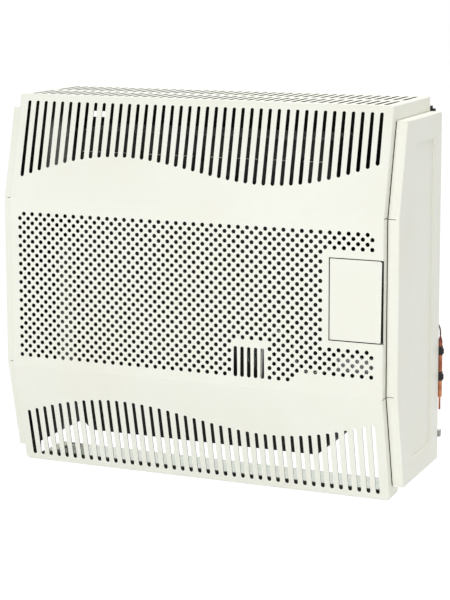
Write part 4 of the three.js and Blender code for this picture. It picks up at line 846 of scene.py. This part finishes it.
def make_bulb():
    profile = [[0, 105], [1.2, 105], [1.6, 105.6], [1.6, 125.4], [2.2, 126.2], [3.2, 127.6],
               [3.6, 129.4], [3.6, 222.8], [3.4, 224], [2.6, 226.5], [1.6, 229.5], [1.15, 231.4],
               [1.15, 232], [0, 232]]
    return turned("sensing_bulb", profile, (*BULB, 0), "z", 40)


def make_clip(name, height):
    half = 7.5
    clip = bar(name, "z", BULB, 4.7, (height - half, height + half), 48)
    weld(clip, block("foot", (BULB[0] - 20, BULB[0]), (-9.7, -8.2), (height - half, height + half)),
         block("ear", (BULB[0], BULB[0] + 7.3), (-9.7, -7.7), (height - half + 3, height + half - 3)))
    cut(clip, bar("bore", "z", BULB, 3.9, (height - 20, height + 20), 48),
        block("mouth", (BULB[0] - 2, BULB[0] + 2), (BULB[1], 8), (height - 20, height + 20)),
        bar("rivet_hole", "y", (BULB[0] - 14, height), 1.8, (-12, -6), 20))
    return round_edges(clip, lambda e: bends(e, 55), 0.3, 2)


# ---- controls

KNOB_BOTTOM, KNOB_TOP = 276, 302


def make_knob():
    rise = [[0, 0], [21.6, 0], [22, 0.5], [22, 4.4], [21.7, 5.2], [20.4, 7.2], [20, 8.4], [19.2, 22.6],
            [18.6, 24.4], [17.4, 25.6], [16, 26], [0, 26]]
    profile = [[r, KNOB_BOTTOM + h] for r, h in rise]
    knob = turned("control_knob_moulding", profile, (*VALVE, 0), "z", 96)
    flute = bar("flute", "z", (VALVE[0] + 21, VALVE[1]), 2.1, (KNOB_BOTTOM + 8.6, KNOB_TOP + 2), 20)
    flutes = []
    for index in range(24):
        groove = copy_of(flute, "flute")
        turn_about(groove, VALVE, index * math.pi / 12)
        flutes.append(groove)
    bpy.data.objects.remove(flute, do_unlink=True)
    cut(knob, gather("flutes", flutes))
    cut(knob, bar("recess", "z", VALVE, 13, (KNOB_BOTTOM - 1, KNOB_BOTTOM + 8), 64),
        bar("bore", "z", VALVE, 5, (KNOB_BOTTOM - 1, 292.3), 32),
        block("pointer", (VALVE[0] - 0.9, VALVE[0] + 0.9), (VALVE[1] - 17.5, VALVE[1] - 6),
              (KNOB_TOP - 0.6, KNOB_TOP + 2)))
    return knob


def turn_about(piece, centre, angle):
    activate(piece)
    bpy.ops.transform.rotate(value=angle, orient_axis="Z", center_override=place(*centre, 0))
    return settle(piece)


def make_bush():
    profile = [[5.1, 268.6], [5.4, 268.3], [10.5, 268.3], [11, 268.8], [11, 269.6], [9.6, 270.0],
               [9.6, 272.4], [9.2, 272.8], [5.4, 272.8], [5.1, 272.5]]
    return turned("dial_bush_turning", profile, (*VALVE, 0), "z", 64)


def make_spindle():
    profile = [[0, 240], [4.3, 240], [4.7, 240.4], [4.7, 291.4], [4.1, 292], [0, 292]]
    spindle = turned("control_spindle_turning", profile, (*VALVE, 0), "z", 48)
    return cut(spindle, block("flat", (VALVE[0] - 8, VALVE[0] + 8),
                              (VALVE[1] + 3.4, VALVE[1] + 9), (285, 300)))


def make_piezo():
    x, z = PIEZO
    profile = [[8.6, -222], [10.4, -222], [11, -221.4], [11, -215.8], [10.8, -213], [10.8, -177],
               [9.8, -176], [3.4, -176], [3, -175.6], [3, -168.6], [2.6, -168], [0, -168],
               [0, -199.7], [8.3, -199.7], [8.3, -221.7]]
    body = turned("piezo_igniter_body", profile, (x, 0, z), "y", 64)
    nut = bar("nut", "y", PIEZO, 14, (-220, -215.3), 12)
    round_edges(nut, lambda e: not along(e, "y"), 0.6, 2)
    cut(nut, bar("nut_bore", "y", PIEZO, 10.9, (-230, -200), 64))
    return gather("piezo_igniter_body", [body, nut])


def make_button():
    x, z = PIEZO
    profile = [[0, -206], [8, -206], [8, -231.6], [7.7, -232.7], [6.9, -233.6], [5.8, -234],
               [4.4, -233.9], [3, -233.6], [0, -233.4]]
    return turned("piezo_button_cap", profile, (x, 0, z), "y", 64)


def slotted_head(name, centre, height, radius, turn):
    """A cheese-head screw on top of a flat face, with its driver slot."""
    head = bar(name, "z", centre, radius, (height - 0.5, height + 2.2), 32)
    round_edges(head, lambda e: bends(e, 60) and middle(e).z > height, 0.5, 3)
    groove = block("driver", (centre[0] - 0.5, centre[0] + 0.5), (centre[1] - 6, centre[1] + 6),
                   (height + 1.2, height + 4))
    return cut(head, turn_about(groove, centre, turn))


def make_valve():
    x, y = VALVE
    body = block("gas_valve_casting", (x - 32, x + 32), (-215, -150), (196, 258))
    round_edges(body, lambda e: along(e, "z"), 8, 6)
    round_edges(body, lambda e: bends(e, 60) and not along(e, "z"), 1.6, 3)
    flange = bar("flange", "z", VALVE, 26, (250, 263), 72)
    round_edges(flange, lambda e: bends(e, 60) and middle(e).z > 262, 1.0, 3)
    neck = bar("neck", "z", VALVE, 14, (250, 268), 56)
    round_edges(neck, lambda e: bends(e, 60) and middle(e).z > 267, 0.8, 3)
    boss = bar("boss", "y", (x - 4, 227), 15, (-221, -205), 56)
    round_edges(boss, lambda e: bends(e, 60) and middle(e).y < -220, 0.8, 3)
    weld(body, flange, neck, boss)
    plug = bar("plug", "y", (x - 4, 227), 8.6, (-224, -219.4), 6)
    cut(body, bar("bore", "z", VALVE, 5.3, (232, 270), 48), plug,
        block("parting", (x - 40, x + 40), (-216, -214.5), (204.6, 205.4)))
    for dx, dy in ((-27, -27), (27, -27), (-27, 27), (27, 27)):
        weld(body, bar("lug", "z", (x + dx, y + dy), 4.6, (250, 259.2), 24))
    heads = [slotted_head("screw", (x + 20.5 * math.cos(a), y + 20.5 * math.sin(a)), 263, 3.1, a)
             for a in (0.8, 2.4, 3.95, 5.5)]
    return gather("gas_valve_casting", [body] + heads)


def make_cover_screw(name, side):
    """A low pan-head screw that holds the cover's lower edge to the tray."""
    shank, tip = 2.2, 9
    profile = [[0, -1.1], [3.4, -1.1], [4, -0.6], [4.2, -0.1], [shank, -0.1], [shank, tip - 1.4],
               [shank - 1, tip], [0, tip]]
    x, y = side * COVER_SCREW[0], COVER_SCREW[1]
    screw = turned(name, profile, (x, y, 0), "z", 28)
    cross = [block("driver", (x - a, x + a), (y - b, y + b), (-2, -0.5))
             for a, b in ((1.9, 0.35), (0.35, 1.9))]
    return cut(screw, *cross)


def make_nut():
    nut = bar("inlet_nut_hexagon", "z", INLET, 14, (16, 36), 6)
    chamfer = bar("chamfer", "z", INLET, 13.9, (15, 37), 64)
    round_edges(chamfer, lambda e: bends(e, 60), 1.6, 2)
    modify(nut, "BOOLEAN", object=chamfer, operation="INTERSECT", solver="MANIFOLD")
    bpy.data.objects.remove(chamfer, do_unlink=True)
    return cut(nut, bar("bore", "z", INLET, 6, (10, 32), 40))


# ---- sight glass

def make_sight_frame():
    profile = [[24.3, -209.9], [24.3, -213.2], [19.4, -213.2], [19, -213.6], [19, -214.2],
               [19.5, -214.7], [29.0, -214.7], [30, -213.8], [30, -210.3], [29.6, -209.9]]
    return turned("sight_glass_bezel", profile, (SIGHT[0], 0, SIGHT[1]), "y", 72)


def make_sight_glass():
    profile = [[0, -209.9], [23.4, -209.9], [24, -210.4], [24, -212.4], [23.4, -212.9], [0, -212.9]]
    return turned("sight_glass_disc", profile, (SIGHT[0], 0, SIGHT[1]), "y", 72)


# ---- the pieces

def paint_shade_inside(sheet, is_inside):
    """Gives the faces that pass the test a second material, the near-black painted shade."""
    sheet.data.materials.append(painted_shade)
    for face in sheet.data.polygons:
        if is_inside(millimetres(face.center)):
            face.material_index = 1


# the cover's faces given painted shade: its inner face and the walls of its slots, top slots and door
# hole
def shaded_cover_faces(point):
    depth = SHEET - 0.2
    inner_face = (abs(point.x) < COVER_HALF - depth and depth < point.z < COVER_HEIGHT - depth
                  and point.y > front_at(point.z, depth))
    slotted = abs(point.x) < 316
    top_slot_wall = slotted and COVER_HEIGHT - SHEET < point.z < COVER_HEIGHT - 0.1
    front_wall = front_at(point.z, 0.1) < point.y < front_at(point.z, SHEET)
    door_hole_wall = (point.x > DOOR_HOLE_LEFT - 0.8
                      and DOOR_HOLE_SPAN[0] - 0.3 < point.z < DOOR_HOLE_SPAN[1] + 0.3)
    slot_wall = slotted and 10 < point.z < COVER_HEIGHT - 10
    return (inner_face or (top_slot_wall and FRONT + 50 < point.y < -20)
            or (front_wall and (door_hole_wall or slot_wall)))


front_cover = fit(soften(make_front_cover()), "casing", "cream_enamel", "front_cover")
# painted shade on the cover's inner face and punched walls
paint_shade_inside(front_cover, shaded_cover_faces)
side_panel = make_side_panel()
thicken(side_panel)
cut(side_panel, block("return_edge", (PANEL_INNER - 2, PANEL_FACE - 8), (REAR - 2, REAR + 2), (0, 700)),
    *knee_slits((PANEL_INNER - 2, PANEL_FACE - 6), RIM, (-1, 2.4)))
fit(soften(side_panel), "casing", "cream_enamel", "side_panel_right")
fit(mirror_of(side_panel, "side_panel_sheet_left"), "casing", "cream_enamel", "side_panel_left")

door_sheet = fit(soften(make_door(), 25), "door", "cream_enamel", "control_door")
# painted shade on the back of the door's hinge edge
paint_shade_inside(door_sheet, shaded_hinge_side)
fit(soften(make_hinge_pin()), "casing", "steel", "door_hinge_pin")
fit(soften(make_wall_rail()), "casing", "black_steel", "wall_rail")
fit(soften(make_lower_rail()), "casing", "galvanised_steel", "lower_wall_rail")
back_plate = fit(soften(make_back_plate(), 25), "casing", "galvanised_steel", "back_plate")
# painted shade on the back plate's front face, inside the casing
paint_shade_inside(back_plate, lambda point: point.y < REAR - SHEET / 2)
# the side frames take the zinc with painted light patches and painted shade around them
for hand in ("right", "left"):
    side_frame = fit(soften(make_side_frame("side_frame_" + hand)), "casing", "galvanised_steel",
                     "side_frame_" + hand)
    side_frame.data.materials[0] = frame_zinc_painted_light_shade
fit(soften(collar("exhaust_collar_spinning", 40, -82, -74.7, -73.2, 50)), "casing", "aluminium",
    "exhaust_collar")
fit(soften(collar("air_collar_spinning", 65, -14.5, -14.5, -13, 75)), "casing", "galvanised_steel",
    "air_collar")
fit(soften(make_flue_seal()), "casing", "rubber", "flue_seal")
fit(soften(make_bulb()), "casing", "copper", "thermostat_bulb")
for end, height in (("upper", 206.5), ("lower", 162.5)):
    fit(soften(make_clip("bulb_clip_spring_" + end, height)), "casing", "black_plastic",
        "bulb_clip_" + end)
fit(soften(make_knob()), "knob", "black_plastic", "control_knob")
fit(soften(make_spindle()), "knob", "steel", "control_spindle")
fit(soften(make_bush()), "dial", "brass", "dial_bush")
fit(soften(make_piezo()), "casing", "black_plastic", "piezo_igniter")
fit(soften(make_button(), 50), "button", "red_plastic", "piezo_button")
fit(soften(make_valve()), "casing", "aluminium", "gas_valve")
fit(soften(make_nut()), "casing", "brass", "inlet_nut")
for hand, side in (("left", -1), ("right", 1)):
    fit(soften(make_cover_screw("cover_screw_turning_" + hand, side)), "casing", "steel",
        "cover_screw_" + hand)
fit(soften(make_sight_frame()), "casing", "steel", "sight_glass_frame")
fit(soften(make_sight_glass()), "casing", "heat_glass", "sight_glass")

# how far the edges of the plainly machined and folded bodies are broken, in millimetres
EASED = {node_name: radius for radius, node_names in {
    0.3: ("access_gasket", "burner_tube", "burner_support_left", "burner_support_right",
          "spark_electrode", "door_lug_upper", "door_lug_lower"),
    0.4: ("bottom_tray", "flue_baffle", "access_screw_1", "access_screw_2", "access_screw_3",
          "access_screw_4", "pilot_bracket", "pilot_burner"),
    0.5: ("hanging_hook_left", "hanging_hook_right", "chamber_stand_right", "chamber_stand_left",
          "air_box", "valve_bracket", "control_bracket"),
    0.6: ("access_plate", "door_magnet"),
    0.8: ("combustion_chamber", "burner_injector"),
}.items() for node_name in node_names}
DRAWN = {  # radius of each small line, and the share of it that rounding its section takes away
    "pilot_pipe": (2.4, 0.167), "thermocouple": (1.2, 0.167), "ignition_lead": (1.6, 0.167),
    "thermostat_capillary": (1.25, 0.167), "burner_pipe": (4, 0.098), "gas_inlet_pipe": (7.5, 0.064),
}
for part in frame["record"]["subparts"]:
    name = part["node"]
    if name in EASED:
        fit(soften(eased(name, EASED[name])), "casing", part["material_slot"], name)
    if name in DRAWN:
        fit(soften(smooth_line(name, *DRAWN[name])), "casing", part["material_slot"], name)

REAR_CURB = ((-317, 317), (-104, -98), (3.05, 12))
tray = bpy.data.objects["bottom_tray_worked"]
cut(tray, block("rear_curb", *REAR_CURB))
# the large sheets are lit as flat right up to their rounded edges
for sheet in (soften(tray), front_cover, side_panel, door_sheet):
    modify(sheet, "WEIGHTED_NORMAL", keep_sharp=True)
# the tray's finish carries a painted shadow along its front, the valve's a painted highlight band
OWN_FINISHES = {
    "bottom_tray_worked": tray_zinc_front_shadow, "lower_wall_rail_worked": rail_zinc,
    "gas_valve_casting": valve_casting, "pilot_pipe_drawn": pipe_aluminium,
    "sight_glass_bezel": blackened_steel, "thermostat_capillary_drawn": tarnished_copper,
}
for name, own in OWN_FINISHES.items():
    bpy.data.objects[name].data.materials[0] = own

# a pale fibre cord along the upper edge of the combustion chamber's front; its pale line is a painted
# highlight for the glint on that edge
LID_GLINT_CORD = ((-214, 214), (-206.2, -204.6), (539.2, 540.8))
glint = block("lid_seam_cord", *LID_GLINT_CORD)
round_edges(glint, lambda e: along(e, "x"), 0.6, 3)
fit(soften(glint), "casing", "fibre_gasket")

# ---- camera, light and floor

CAMERA_PLACE = (1.2042, -2.9308, 0.2859)
CAMERA_TILT, CAMERA_ROLL, CAMERA_TURN = 8.174, 0.137, 23.036  # degrees
camera_data = bpy.data.cameras.new("camera")
camera = bpy.data.objects.new("camera", camera_data)
bpy.context.scene.collection.objects.link(camera)
bpy.context.scene.camera = camera
camera.location = CAMERA_PLACE
camera.rotation_euler = [math.radians(a) for a in (90 - CAMERA_TILT, CAMERA_ROLL, CAMERA_TURN)]
camera_data.lens = 110.49
camera_data.sensor_width = 36
camera_data.shift_y = -0.15
camera_data.clip_end = 60

scene = bpy.context.scene
scene.view_settings.view_transform = "Standard"


def studio_light(name, where, target, size, power):
    data = bpy.data.lights.new(name, "AREA")
    data.shape = "RECTANGLE"
    data.size, data.size_y = size
    data.energy = power
    lamp = bpy.data.objects.new(name, data)
    scene.collection.objects.link(lamp)
    lamp.location = where
    lamp.rotation_euler = (Vector(where) - Vector(target)).to_track_quat("Z", "Y").to_euler()
    return lamp


studio_light("key_softbox", (0.1, -3.8, 0.7), (0, -0.15, -0.3), (3.0, 2.4), 53.5)
studio_light("side_softbox", (3.2, -0.9, 0.2), (0.2, -0.12, -0.3), (1.6, 2.0), 2.6)
studio_light("top_softbox", (0.5, 0.95, 2.3), (0, -0.15, 0), (2.0, 1.4), 42)
studio_light("low_fill", (0.2, -2.6, -1.3), (0, -0.2, -0.5), (2.4, 0.8), 1)


def camera_sees(tree):
    path = node(tree, "ShaderNodeLightPath")
    seen = node(tree, "ShaderNodeMath", {0: path.outputs["Is Camera Ray"],
                                         1: path.outputs["Is Glossy Ray"]}, operation="MAXIMUM")
    return node(tree, "ShaderNodeMath", {0: seen.outputs[0],
                                         1: path.outputs["Is Transmission Ray"]},
                operation="MAXIMUM").outputs[0]


world = bpy.data.worlds.new("white_studio")
world.use_nodes = True
scene.world = world
sky = world.node_tree
sky.nodes.clear()
lighting = node(sky, "ShaderNodeBackground", {"Color": (1, 1, 1, 1), "Strength": 0.52})
backdrop = node(sky, "ShaderNodeBackground", {"Color": (1, 1, 1, 1), "Strength": 1.0})
chosen = node(sky, "ShaderNodeMixShader", {0: camera_sees(sky), 1: lighting.outputs[0],
                                           2: backdrop.outputs[0]})
node(sky, "ShaderNodeOutputWorld", {"Surface": chosen.outputs[0]})

FLOOR_HEIGHT = -120
bpy.ops.object.select_all(action="DESELECT")
bpy.ops.mesh.primitive_plane_add(size=24, location=place(0, 0, FLOOR_HEIGHT))
floor = named("studio_floor")
floor_paint = bpy.data.materials.new("pale_floor")
floor_paint.use_nodes = True
ground = floor_paint.node_tree
ground.nodes.clear()
matt = node(ground, "ShaderNodeBsdfDiffuse", {"Color": (0.93, 0.93, 0.93, 1)})
white = node(ground, "ShaderNodeEmission", {"Color": (1, 1, 1, 1), "Strength": 1.14})
share = node(ground, "ShaderNodeMath", {0: camera_sees(ground), 1: 0.82}, operation="MULTIPLY")
both = node(ground, "ShaderNodeMixShader", {0: share.outputs[0], 1: matt.outputs[0],
                                            2: white.outputs[0]})
node(ground, "ShaderNodeOutputMaterial", {"Surface": both.outputs[0]})
floor.data.materials.append(floor_paint)
